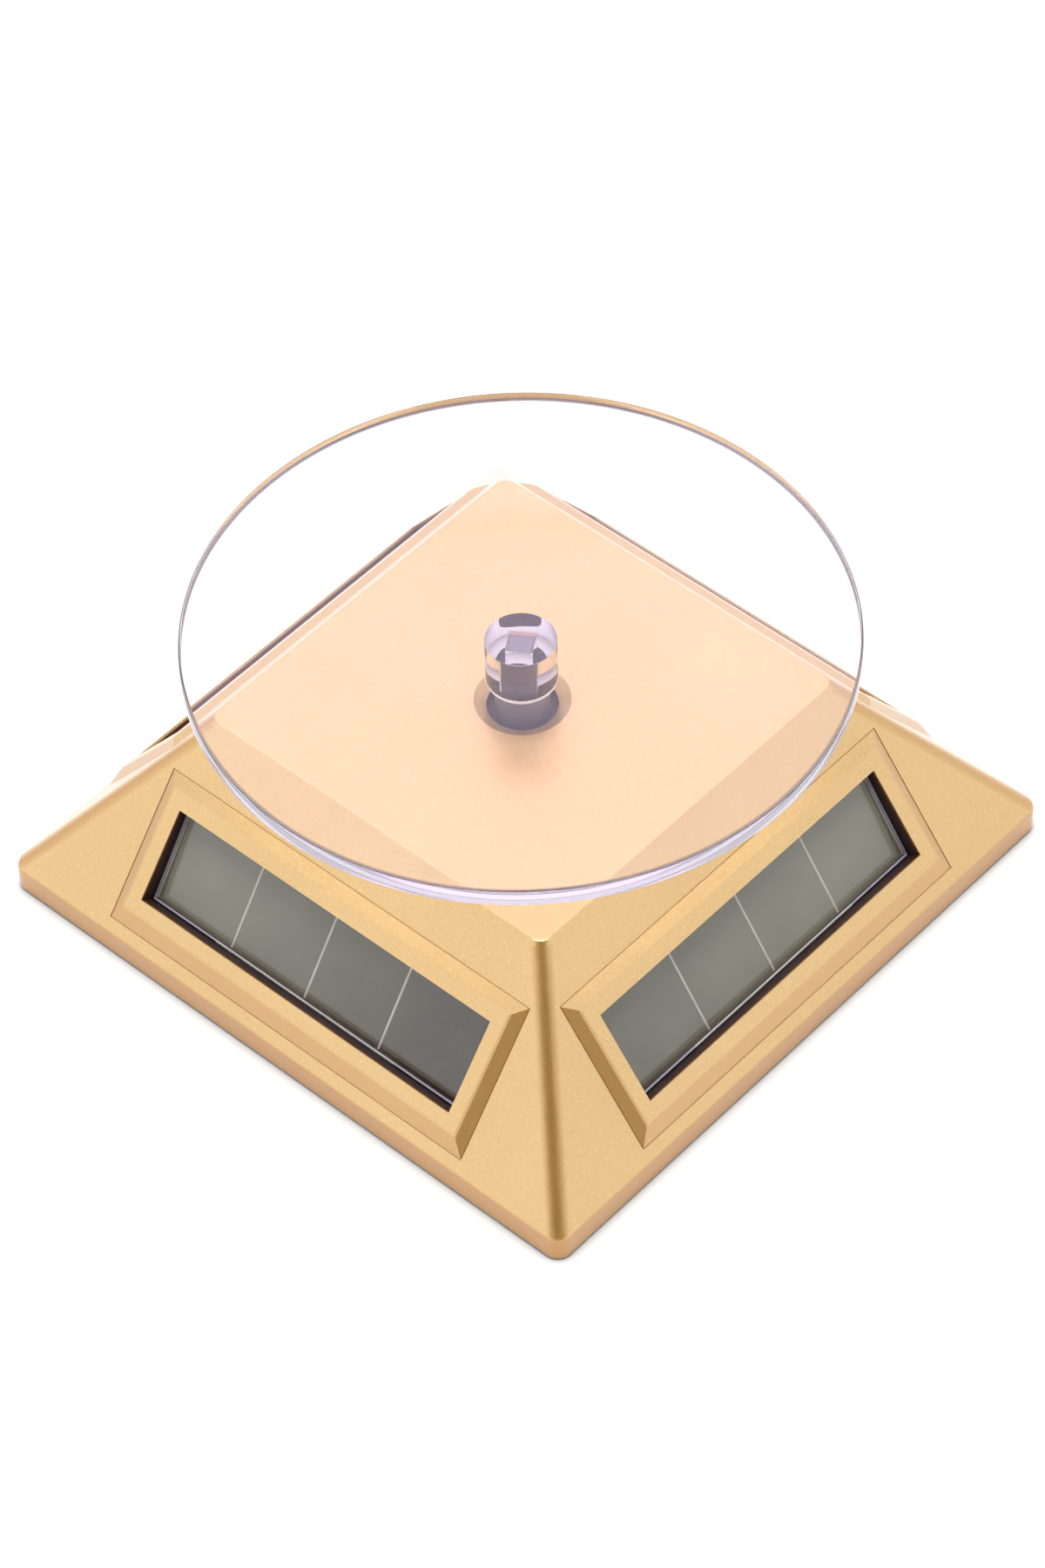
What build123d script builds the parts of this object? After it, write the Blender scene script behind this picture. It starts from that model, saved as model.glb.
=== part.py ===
from build123d import *
import math
import os

# Turntable display stand: a solar and battery powered base that turns a clear acrylic disc.
# Millimetres, +Z up. The origin is on the turntable's axis, level with the underside of the feet.
# The base is square, with its sides along X and Y. Every slope is built as the -Y one and turned.

# ---- base housing ----
BASE_SIDE = 105.0        # square outline at the table
BAND_LOW = 0.4           # the vertical band's lower edge: the feet lift it off the table
BAND_TOP = 4.4           # where the slopes start
TOP_SIDE = 62.2          # square top face
TOP_FACE = 31.7          # height of the top face
WALL = 1.9
BASE_CORNER = 2.3        # plan radius of the band's corners
TOP_CORNER = 1.9         # plan radius of the top face's corners
BAND_ROUNDING = 1.0
TOP_ROUNDING = 0.35
HOLE_R = 5.1             # hole in the top face for the output shaft
SINK_R = 6.9             # conical sink round that hole
SINK_DEPTH = 0.9

SLOPE_RUN = (BASE_SIDE - TOP_SIDE) / 2
SLOPE_RISE = TOP_FACE - BAND_TOP
SLOPE = math.atan2(SLOPE_RISE, SLOPE_RUN)
SIDES = {"front": 0, "right": 90, "back": 180, "left": 270}

# ---- bezel and window on each slope: heights are along the slope, from the band ----
BEZEL_WIDTH, BEZEL_FROM, BEZEL_TO = 66.8, 2.25, 26.05
PLATEAU_WIDTH, PLATEAU_FROM, PLATEAU_TO = 63.2, 5.0, 24.15
WINDOW_WIDTH, WINDOW_FROM, WINDOW_TO = 58.6, 7.25, 21.75
BEZEL_RAISE = 1.0
BEZEL_EDGE = 0.2
GROOVE_WIDTH, GROOVE_DEPTH = 0.16, 0.16   # the fine line round the bezel's foot
PANEL_RECESS = 2.1       # from the bezel's face down to the middle of the panel's glass
PANEL_TILT = 3.2         # the panel stands a little steeper than the slope, degrees
PANEL_LENGTH, PANEL_HEIGHT, PANEL_THICK = 58.2, 14.1, 1.7
BEAD_LENGTH, BEAD_REACH, BEAD_THICK = 34.0, 2.0, 0.8   # hot-melt beads behind the panels
PANEL_MID = (WINDOW_FROM + WINDOW_TO) / 2
PANEL_FACE = BEZEL_RAISE - PANEL_RECESS

# ---- turntable ----
DISC_R = 47.4
DISC_TOP = 46.9
DISC_THICK = 3.0
DISC_ROUNDING = 0.4
POST_R = 5.1
POST_LOW = 35.6
POST_ROUNDING = 0.9
SOCKET_SIDE = 3.9
SOCKET_DEPTH = 7.3
TENON_SIDE = 3.75
TENON_HEIGHT = 7.0
TENON_TURN = 33.0        # where the square drive stands at rest
DRIVE_CHAMFER = 0.3      # on the shoulder and on the top of the drive

# ---- gear train: four stages of 4:1 from the motor to the output shaft ----
PRESSURE_ANGLE = math.radians(20)
FINE, COARSE = 0.4, 0.5  # tooth modules
PINION_TEETH, WHEEL_TEETH = 10, 40
LAST_PINION_TEETH, OUTPUT_TEETH = 12, 48
SHIFT = 0.41             # profile shift: pinions plus, wheels minus
TOOTH_PLAY = 0.06        # thinning of each tooth, for backlash
FLANK_POINTS = 5
FINE_CENTRES = FINE * (PINION_TEETH + WHEEL_TEETH) / 2
LAST_CENTRES = COARSE * (LAST_PINION_TEETH + OUTPUT_TEETH) / 2

OUTPUT_AT = (0.0, 0.0)
MOTOR_AT = (0.0, 22.0)
THIRD_BEARING = 10.0     # direction of the third gear from the output, degrees
SECOND_BEARING = 80.0    # direction of the second gear from the third


def step(start, bearing, distance):
    """The point that lies a distance away from start, in a direction given in degrees."""
    angle = math.radians(bearing)
    return (start[0] + distance * math.cos(angle), start[1] + distance * math.sin(angle))


def bearing_of(start, end):
    """The direction from start to end, in degrees."""
    return math.degrees(math.atan2(end[1] - start[1], end[0] - start[0]))


def common_neighbour(a, b, distance):
    """The point at the same distance from a and from b, on the left of the line from b to a."""
    half = math.dist(a, b) / 2
    middle = ((a[0] + b[0]) / 2, (a[1] + b[1]) / 2)
    return step(middle, bearing_of(b, a) - 90, math.sqrt(distance**2 - half**2))


THIRD_AT = step(OUTPUT_AT, THIRD_BEARING, LAST_CENTRES)
SECOND_AT = step(THIRD_AT, SECOND_BEARING, FINE_CENTRES)
FIRST_AT = common_neighbour(MOTOR_AT, SECOND_AT, FINE_CENTRES)

# Heights of the layers of the train, from the lower plate up.
PLATE_THICK = 1.5
LOWER_PLATE = 16.9       # underside of the lower plate, where the motor's face meets it
UPPER_PLATE = 27.6       # underside of the upper plate
MOTOR_PINION_Z = (19.4, 21.0)
FIRST_WHEEL_Z, FIRST_PINION_TOP = (19.5, 20.7), 22.6
SECOND_WHEEL_Z, SECOND_PINION_TOP = (21.3, 22.4), 24.3
THIRD_WHEEL_Z, THIRD_PINION_TOP = (23.0, 24.1), 26.9
OUTPUT_WHEEL_Z = (24.7, 26.5)
END_PLAY = 0.2
PIN_R = 0.5
PIN_BORE = 0.54
SLEEVE_R = 1.1

# ---- output shaft ----
SHOULDER_R = 3.9         # the dark shoulder that shows in the top face's hole
JOURNAL_PLAY = 0.05
GEAR_SEAT_R = 3.0
PIVOT_R = 1.5
PIVOT_STOP = 0.1         # plate left under the shaft's pivot

# ---- gear frame ----
FRAME_X = (-17.0, 26.5)
FRAME_Y = (-15.5, 27.0)
LOWER_FRAME_Y = (-15.5, 31.5)
FRAME_CORNER = 3.0
PILLAR_R = 2.5
PILLARS = [(-14.0, -12.5), (23.5, -12.5), (-14.0, 24.0), (23.5, 24.0)]
BOSS_R = 2.6
EAR_R = 3.6
EARS = [(-20.5, -10.0), (-20.5, 22.0), (30.5, 6.0)]

# ---- screws and their holes ----
PILOT_R, CLEARANCE_R, PILOT_DEPTH = 0.8, 1.1, 5.5          # gear frame, ears and motor
COVER_PILOT_R, COVER_CLEARANCE_R = 1.0, 1.25
COVER_HEAD_R, COVER_HEAD_DEPTH = 2.6, 1.8                  # pocket for the head in the cover
FRAME_HEAD_R, FRAME_HEAD_DEPTH = 2.0, 0.9                  # pocket for the head in the upper plate
PIN_STOP = 0.4                                             # plate left under each gear pin
RECESS_WIDTH, RECESS_DEPTH = 0.35, 0.8                     # cross recess in a screw's head

# ---- motor ----
CAN_R, CAN_HEIGHT, CAN_WALL = 12.2, 12.0, 0.7
CAN_LOW = LOWER_PLATE - CAN_HEIGHT
MOTOR_SHAFT_R = 1.0
MOTOR_SHAFT_Z = (4.3, 21.2)
MOTOR_BOSS_R, MOTOR_BOSS_HEIGHT = 3.1, 1.1
BUSH_R = 2.3
CAP_THICK = 2.0
MAGNET_R = (9.6, 11.4)
MAGNET_Z = (8.2, 14.8)
CORE_R, CORE_Z = 9.2, (9.2, 13.8)
POLES = 3
MOTOR_SCREW_R = 6.5
CAN_ROUNDING = 0.6
TERMINAL_AT, TERMINAL_HALF, TERMINAL_DEEP = 8.0, 0.25, 1.0     # off the axis, half thick, half deep
TERMINAL_OUT = 1.4
BUSH_OUT = 0.6           # how far the lower bush stands out of the cap
BUSH_PLAY = 0.03
LEAF_AT, LEAF_THICK, LEAF_DEEP, LEAF_TALL = 2.45, 0.2, 1.5, 1.1
MAGNET_GAP = 2.5
HUB_R, NECK_HALF, SHOE_THICK = 3.2, 1.4, 1.3
COIL_FROM, COIL_HALF, COIL_OVER = 3.7, 3.4, 0.7
COMMUTATOR_R = 2.1

# ---- bottom cover, battery bay and door ----
COVER_SIDE = 100.6
COVER_LOW, COVER_TOP = 0.9, 2.9
COVER_CORNER = 1.5
BAY_Y = -26.2
BAY_LENGTH, BAY_WIDTH, BAY_ROOF = 56.8, 15.6, 18.6     # takes one AA cell, 14.5 by 50.5
BAY_WALL = 1.2
DOOR_LENGTH, DOOR_WIDTH, DOOR_THICK = 61.0, 18.6, 0.8
DOOR_PLAY = 0.3
DOOR_PLUG_TOP = 2.7
SCOOP_IN, SCOOP_DEPTH, SCOOP_RIB_STEP = 7.0, 0.45, 1.2     # finger scoop with three ribs
CORNER_BOSS_AT = 41.0
CORNER_BOSS_R = 3.2
COVER_BOSS_TOP = 4.4
FEET = [(-30.0, -43.0), (30.0, -43.0), (-30.0, 43.0), (30.0, 43.0)]
FOOT_R, FOOT_THICK, FOOT_RECESS = 4.0, 1.3, 0.4

# ---- circuit board ----
BOARD_AT = (-28.0, 8.0)
BOARD_SIZE = (18.0, 26.0, 1.0)
BOARD_Z = 6.0
CAPACITOR_R, CAPACITOR_HEIGHT = 4.0, 11.0
CAPACITOR_AT = (-30.5, 14.0)


# ---- small helpers ----
def tube(radius, low, high, bore=0.0, at=(0.0, 0.0)):
    """An upright cylinder, or a tube where a bore is given."""
    shape = extrude(Pos(at[0], at[1], low) * Circle(radius), high - low)
    if bore:
        shape -= extrude(Pos(at[0], at[1], low) * Circle(bore), high - low)
    return shape


def block(x, y, z):
    """A box between pairs of limits."""
    size = (x[1] - x[0], y[1] - y[0], z[1] - z[0])
    middle = ((x[0] + x[1]) / 2, (y[0] + y[1]) / 2, (z[0] + z[1]) / 2)
    return Pos(*middle) * Box(*size)


def slab(x, y, z, corner):
    """A plate between pairs of limits, with rounded plan corners."""
    outline = RectangleRounded(x[1] - x[0], y[1] - y[0], corner)
    return extrude(Pos((x[0] + x[1]) / 2, (y[0] + y[1]) / 2, z[0]) * outline, z[1] - z[0])


def square_at(side, corner, z):
    """A rounded square centred on the axis, at one height."""
    return Pos(0, 0, z) * RectangleRounded(side, side, corner)


def edges_at(shape, z):
    """The edges that lie flat at one height."""
    return [e for e in shape.edges() if all(abs(v.Z - z) < 1e-4 for v in (e @ 0, e @ 0.5, e @ 1))]


SLOPE_PLANE = Plane(
    origin=(0, -BASE_SIDE / 2, BAND_TOP),
    x_dir=(1, 0, 0),
    z_dir=(0, -math.sin(SLOPE), math.cos(SLOPE)),
)


def on_slope(width, low, high, raised):
    """A rectangle parallel to the -Y slope, raised off it along its normal."""
    return SLOPE_PLANE * Pos(0, (low + high) / 2, raised) * Rectangle(width, high - low)


def all_round(shape):
    """The shape turned to each of the four sides."""
    return [Rot(0, 0, turn) * shape for turn in SIDES.values()]


def screw(head_r, head_height, shank_r, length, at, head_z, point_up):
    """A pan-head self-tapping screw with a cross recess; head_z is where the head seats."""
    head = Cylinder(head_r, head_height, align=(Align.CENTER, Align.CENTER, Align.MAX))
    crown = [e for e in head.edges() if e.center().Z < -head_height / 2]
    head = fillet(crown, head_height * 0.4)
    across = Box(head_r * 1.2, RECESS_WIDTH, RECESS_DEPTH) + Box(RECESS_WIDTH, head_r * 1.2, RECESS_DEPTH)
    recess = Pos(0, 0, -head_height) * across
    shank = Cylinder(shank_r, length - shank_r, align=(Align.CENTER, Align.CENTER, Align.MIN))
    point = Pos(0, 0, length - shank_r) * Cone(
        shank_r, shank_r * 0.3, shank_r, align=(Align.CENTER, Align.CENTER, Align.MIN)
    )
    shape = (head - recess) + shank + point
    turned = shape if point_up else Rot(180, 0, 0) * shape
    return Pos(at[0], at[1], head_z) * turned


# ---- gears ----
def tooth_outline(teeth, module, shift, offset):
    """The closed outline of a spur gear: true involute flanks, radial below the base circle."""
    pitch_r = module * teeth / 2
    base_r = pitch_r * math.cos(PRESSURE_ANGLE)
    tip_r = pitch_r + module * (1 + shift)
    root_r = pitch_r - module * (1.25 - shift)
    thickness = module * (math.pi / 2 + 2 * shift * math.tan(PRESSURE_ANGLE)) - TOOTH_PLAY
    involute = math.tan(PRESSURE_ANGLE) - PRESSURE_ANGLE
    low_r = max(base_r, root_r)

    def half_angle(radius):
        pressure = math.acos(min(1.0, base_r / radius))
        return thickness / (2 * pitch_r) + involute - (math.tan(pressure) - pressure)

    radii = [low_r + (tip_r - low_r) * i / (FLANK_POINTS - 1) for i in range(FLANK_POINTS)]
    flank = [(r, half_angle(r)) for r in radii]
    if root_r < base_r:
        flank = [(root_r, half_angle(base_r))] + flank
    points = []
    for i in range(teeth):
        middle = math.radians(offset) + 2 * math.pi * i / teeth
        rising = [(r, middle - a) for r, a in flank]
        falling = [(r, middle + a) for r, a in reversed(flank)]
        points += [(r * math.cos(a), r * math.sin(a)) for r, a in rising + falling]
    return make_face(Polyline(*points, close=True))


def spur(teeth, module, shift, offset, z, at):
    """A spur gear between two heights, with one tooth's middle at the offset angle."""
    outline = tooth_outline(teeth, module, shift, offset)
    return extrude(Pos(at[0], at[1], z[0]) * outline, z[1] - z[0])


def toothed_toward(teeth, module, shift, at, partner, z):
    """A gear with a tooth pointing at its partner's centre."""
    return spur(teeth, module, shift, bearing_of(at, partner), z, at)


def gapped_toward(teeth, module, shift, at, partner, z):
    """A gear with a gap pointing at its partner's centre."""
    return spur(teeth, module, shift, bearing_of(at, partner) + 180 / teeth, z, at)


def reduction_gear(at, driver_at, driven_at, wheel_z, pinion_top, pinion_teeth, pinion_module):
    """A wheel and pinion moulded in one with the sleeve that turns on a steel pin."""
    wheel = gapped_toward(WHEEL_TEETH, FINE, -SHIFT, at, driver_at, wheel_z)
    pinion = toothed_toward(
        pinion_teeth, pinion_module, SHIFT, at, driven_at, (wheel_z[1], pinion_top)
    )
    sleeve = tube(SLEEVE_R, LOWER_PLATE + PLATE_THICK + END_PLAY, UPPER_PLATE - END_PLAY, at=at)
    bore = tube(PIN_BORE, LOWER_PLATE, UPPER_PLATE, at=at)
    return wheel + pinion + sleeve - bore


def first_gear():
    return reduction_gear(
        FIRST_AT, MOTOR_AT, SECOND_AT, FIRST_WHEEL_Z, FIRST_PINION_TOP, PINION_TEETH, FINE
    )


def second_gear():
    return reduction_gear(
        SECOND_AT, FIRST_AT, THIRD_AT, SECOND_WHEEL_Z, SECOND_PINION_TOP, PINION_TEETH, FINE
    )


def third_gear():
    return reduction_gear(
        THIRD_AT, SECOND_AT, OUTPUT_AT, THIRD_WHEEL_Z, THIRD_PINION_TOP, LAST_PINION_TEETH, COARSE
    )


def output_gear():
    """The last wheel, pressed on the output shaft."""
    wheel = gapped_toward(OUTPUT_TEETH, COARSE, -SHIFT, OUTPUT_AT, THIRD_AT, OUTPUT_WHEEL_Z)
    hub = tube(GEAR_SEAT_R + 1.6, OUTPUT_WHEEL_Z[0] - 2.2, OUTPUT_WHEEL_Z[0])
    return wheel + hub - tube(GEAR_SEAT_R, OUTPUT_WHEEL_Z[0] - 3, OUTPUT_WHEEL_Z[1] + 1)


def output_shaft():
    """Pivot, gear seat, shoulder and the square drive on top."""
    pivot = tube(PIVOT_R, LOWER_PLATE + 0.2, LOWER_PLATE + PLATE_THICK + END_PLAY)
    seat = tube(GEAR_SEAT_R, LOWER_PLATE + PLATE_THICK + END_PLAY, OUTPUT_WHEEL_Z[1])
    shoulder = tube(SHOULDER_R, OUTPUT_WHEEL_Z[1], POST_LOW)
    shoulder = chamfer(edges_at(shoulder, POST_LOW), DRIVE_CHAMFER)
    drive = extrude(Pos(0, 0, POST_LOW) * Rectangle(TENON_SIDE, TENON_SIDE), TENON_HEIGHT)
    drive = chamfer(edges_at(drive, POST_LOW + TENON_HEIGHT), DRIVE_CHAMFER)
    return pivot + seat + shoulder + Rot(0, 0, TENON_TURN) * drive


# ---- turntable ----
def turntable_disc():
    disc = tube(DISC_R, DISC_TOP - DISC_THICK, DISC_TOP)
    return fillet(edges_at(disc, DISC_TOP) + edges_at(disc, DISC_TOP - DISC_THICK), DISC_ROUNDING)


def centre_post():
    """The clear post bonded under the disc, with a blind square socket for the drive."""
    post = tube(POST_R, POST_LOW, DISC_TOP - DISC_THICK)
    post = fillet(edges_at(post, POST_LOW), POST_ROUNDING)
    socket = extrude(Pos(0, 0, POST_LOW) * Rectangle(SOCKET_SIDE, SOCKET_SIDE), SOCKET_DEPTH)
    return post - Rot(0, 0, TENON_TURN) * socket


# ---- housing ----
def pyramid_outer():
    """Band and slopes as one solid, with the raised bezels."""
    band = extrude(square_at(BASE_SIDE, BASE_CORNER, BAND_LOW), BAND_TOP - BAND_LOW)
    foot = square_at(BASE_SIDE, BASE_CORNER, BAND_TOP)
    slopes = loft([foot, square_at(TOP_SIDE, TOP_CORNER, TOP_FACE)])
    body = band + slopes
    body = fillet(edges_at(body, BAND_TOP), BAND_ROUNDING)
    body = fillet(edges_at(body, TOP_FACE), TOP_ROUNDING)
    return body


def bezel():
    """The raised frame round one window, before the window is cut."""
    foot = on_slope(BEZEL_WIDTH, BEZEL_FROM, BEZEL_TO, 0)
    face = on_slope(PLATEAU_WIDTH, PLATEAU_FROM, PLATEAU_TO, BEZEL_RAISE)
    frame = loft([foot, face], ruled=True)
    heights = {e: SLOPE_PLANE.to_local_coords(e.center()).Z for e in frame.edges()}
    rim = [e for e, height in heights.items() if abs(height - BEZEL_RAISE) < 1e-4]
    return chamfer(rim, BEZEL_EDGE) + extrude(foot, -WALL / 2)


def window_cut():
    """The window, straight through the wall, and the fine groove round the bezel."""
    window = extrude(on_slope(WINDOW_WIDTH, WINDOW_FROM, WINDOW_TO, BEZEL_RAISE + 1), -2 * WALL - 2)
    wide = 2 * GROOVE_WIDTH
    outside = on_slope(BEZEL_WIDTH + wide, BEZEL_FROM - GROOVE_WIDTH, BEZEL_TO + GROOVE_WIDTH, 1)
    inside = on_slope(BEZEL_WIDTH, BEZEL_FROM, BEZEL_TO, 1)
    return window + extrude(outside - inside, -1 - GROOVE_DEPTH)


def hollow_half(z):
    """Half the width of the inside of the slopes, at one height."""
    return BASE_SIDE / 2 - (z - BAND_TOP) / math.tan(SLOPE) - WALL / math.sin(SLOPE)


def hollow():
    """The inside of the shell: straight behind the band, then sloping in."""
    inner_side = BASE_SIDE - 2 * WALL
    knee = BAND_TOP - WALL * math.tan(SLOPE) * (1 / math.sin(SLOPE) - 1)
    ceiling = TOP_FACE - WALL
    straight = extrude(square_at(inner_side, 1.0, BAND_LOW - 1), knee - BAND_LOW + 1)
    sloping = loft([square_at(inner_side, 1.0, knee), square_at(2 * hollow_half(ceiling), 1.0, ceiling)])
    return straight + sloping


def corner_places():
    return [(x * CORNER_BOSS_AT, y * CORNER_BOSS_AT) for x in (-1, 1) for y in (-1, 1)]


def upper_housing():
    """The painted moulding: shell, bezels, and the bosses for the cover and the gear frame."""
    outer = pyramid_outer()
    ceiling = TOP_FACE - WALL / 2
    bosses = [tube(CORNER_BOSS_R, COVER_BOSS_TOP, ceiling, at=at) for at in corner_places()]
    bosses += [tube(BOSS_R, LOWER_PLATE + PLATE_THICK, ceiling, at=at) for at in EARS]
    shell = outer - hollow()
    for boss in bosses:
        shell += boss & outer
    for frame in all_round(bezel()):
        shell += frame
    for cut in all_round(window_cut()):
        shell -= cut
    for at in corner_places():
        shell -= tube(COVER_PILOT_R, COVER_BOSS_TOP, COVER_BOSS_TOP + PILOT_DEPTH, at=at)
    for at in EARS:
        seat = LOWER_PLATE + PLATE_THICK
        shell -= tube(PILOT_R, seat, seat + PILOT_DEPTH, at=at)
    shell -= tube(HOLE_R, TOP_FACE - 2 * WALL, TOP_FACE + 1)
    sink = Pos(0, 0, TOP_FACE) * Cone(
        HOLE_R, SINK_R, SINK_DEPTH, align=(Align.CENTER, Align.CENTER, Align.MAX)
    )
    return shell - sink


# ---- solar panels ----
def solar_panel():
    """The laminate in the -Y window, its foot set deeper than its head."""
    place = SLOPE_PLANE * Pos(0, PANEL_MID, PANEL_FACE) * Rot(PANEL_TILT, 0, 0)
    return place * extrude(Rectangle(PANEL_LENGTH, PANEL_HEIGHT), -PANEL_THICK)


def panel_adhesive():
    """Two hot-melt beads behind each panel, bridging its back to the inside of the wall."""
    beads = []
    lean = math.tan(math.radians(PANEL_TILT)) * PANEL_HEIGHT / 2
    for way in (-1, 1):
        edge = PANEL_MID + way * PANEL_HEIGHT / 2
        back = PANEL_FACE - PANEL_THICK + way * lean - BEAD_THICK
        bead = extrude(on_slope(BEAD_LENGTH, edge - BEAD_REACH, edge + BEAD_REACH, -WALL), back + WALL)
        beads.append(bead - solar_panel())
    return [Rot(0, 0, turn) * bead for turn in SIDES.values() for bead in beads]


# ---- gear frame ----
def gear_frame_lower():
    """Lower plate with its pillars and its three ears."""
    top = LOWER_PLATE + PLATE_THICK
    plate = slab(FRAME_X, LOWER_FRAME_Y, (LOWER_PLATE, top), FRAME_CORNER)
    for at in EARS:
        reach = (min(at[0], 0), max(at[0], 0))
        plate += tube(EAR_R, LOWER_PLATE, top, at=at)
        plate += block(reach, (at[1] - EAR_R, at[1] + EAR_R), (LOWER_PLATE, top))
    for at in PILLARS:
        plate += tube(PILLAR_R, top, UPPER_PLATE, at=at)
    for at in EARS + motor_screw_places():
        plate -= tube(CLEARANCE_R, LOWER_PLATE, top, at=at)
    for at in PILLARS:
        plate -= tube(PILOT_R, UPPER_PLATE - PILOT_DEPTH, UPPER_PLATE, at=at)
    for at in (FIRST_AT, SECOND_AT, THIRD_AT):
        plate -= tube(PIN_R, LOWER_PLATE + PIN_STOP, top, at=at)
    plate -= tube(MOTOR_BOSS_R + JOURNAL_PLAY, LOWER_PLATE, top, at=MOTOR_AT)
    return plate - tube(PIVOT_R + JOURNAL_PLAY, LOWER_PLATE + PIVOT_STOP, top)


def gear_frame_upper():
    """Upper plate, which carries the output shaft's bearing."""
    top = UPPER_PLATE + PLATE_THICK
    plate = slab(FRAME_X, FRAME_Y, (UPPER_PLATE, top), FRAME_CORNER)
    for at in PILLARS:
        plate -= tube(CLEARANCE_R, UPPER_PLATE, top, at=at)
        plate -= tube(FRAME_HEAD_R, top - FRAME_HEAD_DEPTH, top, at=at)
    for at in (FIRST_AT, SECOND_AT, THIRD_AT):
        plate -= tube(PIN_R, UPPER_PLATE, top - PIN_STOP, at=at)
    return plate - tube(SHOULDER_R + JOURNAL_PLAY, UPPER_PLATE, top)


def gear_pins():
    low, high = LOWER_PLATE + PIN_STOP, UPPER_PLATE + PLATE_THICK - PIN_STOP
    return [tube(PIN_R, low, high, at=at) for at in (FIRST_AT, SECOND_AT, THIRD_AT)]


def frame_screws():
    seat = UPPER_PLATE + PLATE_THICK - FRAME_HEAD_DEPTH
    return [screw(1.9, FRAME_HEAD_DEPTH, PILOT_R, 6.0, at, seat, False) for at in PILLARS]


def mounting_screws():
    return [screw(1.9, 1.3, PILOT_R, 6.5, at, LOWER_PLATE, True) for at in EARS]


# ---- motor ----
def motor_screw_places():
    across = bearing_of(MOTOR_AT, FIRST_AT) + 90
    return [step(MOTOR_AT, across, MOTOR_SCREW_R), step(MOTOR_AT, across + 180, MOTOR_SCREW_R)]


def motor_can():
    can = tube(CAN_R, CAN_LOW, LOWER_PLATE, at=MOTOR_AT)
    can = fillet(edges_at(can, LOWER_PLATE), CAN_ROUNDING)
    can += tube(MOTOR_BOSS_R, LOWER_PLATE, LOWER_PLATE + MOTOR_BOSS_HEIGHT, at=MOTOR_AT)
    can -= tube(CAN_R - CAN_WALL, CAN_LOW, LOWER_PLATE - CAN_WALL, at=MOTOR_AT)
    can -= tube(BUSH_R, CAN_LOW, LOWER_PLATE + MOTOR_BOSS_HEIGHT, at=MOTOR_AT)
    for at in motor_screw_places():
        can -= tube(PILOT_R, LOWER_PLATE - CAN_WALL, LOWER_PLATE, at=at)
    return can


def terminal_blade(way, low):
    """One terminal's blade, or its slot in the cap, from a height up to the cap's inside."""
    x, y = MOTOR_AT[0] + way * TERMINAL_AT, MOTOR_AT[1]
    x_limits = (x - TERMINAL_HALF, x + TERMINAL_HALF)
    return block(x_limits, (y - TERMINAL_DEEP, y + TERMINAL_DEEP), (low, CAN_LOW + CAP_THICK))


def motor_end_cap():
    cap = tube(CAN_R - CAN_WALL, CAN_LOW, CAN_LOW + CAP_THICK, at=MOTOR_AT)
    cap += tube(MOTOR_BOSS_R, CAN_LOW - BUSH_OUT - 0.3, CAN_LOW, at=MOTOR_AT)
    cap -= tube(BUSH_R, CAN_LOW - BUSH_OUT, CAN_LOW + CAP_THICK, at=MOTOR_AT)
    for way in (-1, 1):
        cap -= terminal_blade(way, CAN_LOW)
    return cap


def motor_terminals():
    tabs = []
    for way in (-1, 1):
        eye = Pos(MOTOR_AT[0] + way * TERMINAL_AT, MOTOR_AT[1], CAN_LOW - TERMINAL_OUT / 2)
        hole = eye * Rot(0, 90, 0) * Cylinder(0.4, 4 * TERMINAL_HALF)
        tabs.append(terminal_blade(way, CAN_LOW - TERMINAL_OUT) - hole)
    return tabs


def motor_brushes():
    """Two leaf brushes, from the terminals to the commutator."""
    z = (CAN_LOW + CAP_THICK, CAN_LOW + CAP_THICK + LEAF_TALL)
    inner, outer = LEAF_AT, LEAF_AT + LEAF_THICK
    far = TERMINAL_AT + TERMINAL_HALF
    leaves = []
    for way in (-1, 1):
        leaf = block(sorted((way * inner, way * outer)), (-LEAF_DEEP, LEAF_DEEP), z)
        arm = block(sorted((way * outer, way * far)), (-0.15, 0.15), z)
        leaves.append(Pos(*MOTOR_AT) * (leaf + arm))
    return leaves


def motor_bushes():
    bore = MOTOR_SHAFT_R + BUSH_PLAY
    low = tube(BUSH_R, CAN_LOW - BUSH_OUT, CAN_LOW + 1.4, bore, MOTOR_AT)
    top = LOWER_PLATE + MOTOR_BOSS_HEIGHT
    return [low, tube(BUSH_R, top - 2.2, top, bore, MOTOR_AT)]


def motor_magnets():
    """Two curved ferrite segments against the can's wall."""
    ring = tube(MAGNET_R[1], MAGNET_Z[0], MAGNET_Z[1], MAGNET_R[0], MOTOR_AT)
    gap = block((-MAGNET_GAP, MAGNET_GAP), (-CAN_R, CAN_R), MAGNET_Z)
    return (ring - Pos(*MOTOR_AT) * gap).solids()


def rotor_pole(turn):
    """One pole of the core: a neck, and a curved shoe at the rim."""
    shoe = tube(CORE_R, CORE_Z[0], CORE_Z[1], CORE_R - SHOE_THICK)
    reach = make_face(Polyline((0, 0), (12, -16), (20, 0), (12, 16), close=True))
    wedge = extrude(Pos(0, 0, CORE_Z[0]) * reach, CORE_Z[1] - CORE_Z[0])
    neck = block((0, CORE_R - 1), (-NECK_HALF, NECK_HALF), CORE_Z)
    return Rot(0, 0, turn) * ((shoe & wedge) + neck)


def rotor_core():
    core = tube(HUB_R, CORE_Z[0], CORE_Z[1])
    for i in range(POLES):
        core += rotor_pole(360 / POLES * i)
    return Pos(*MOTOR_AT) * (core - tube(MOTOR_SHAFT_R, CORE_Z[0], CORE_Z[1]))


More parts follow.
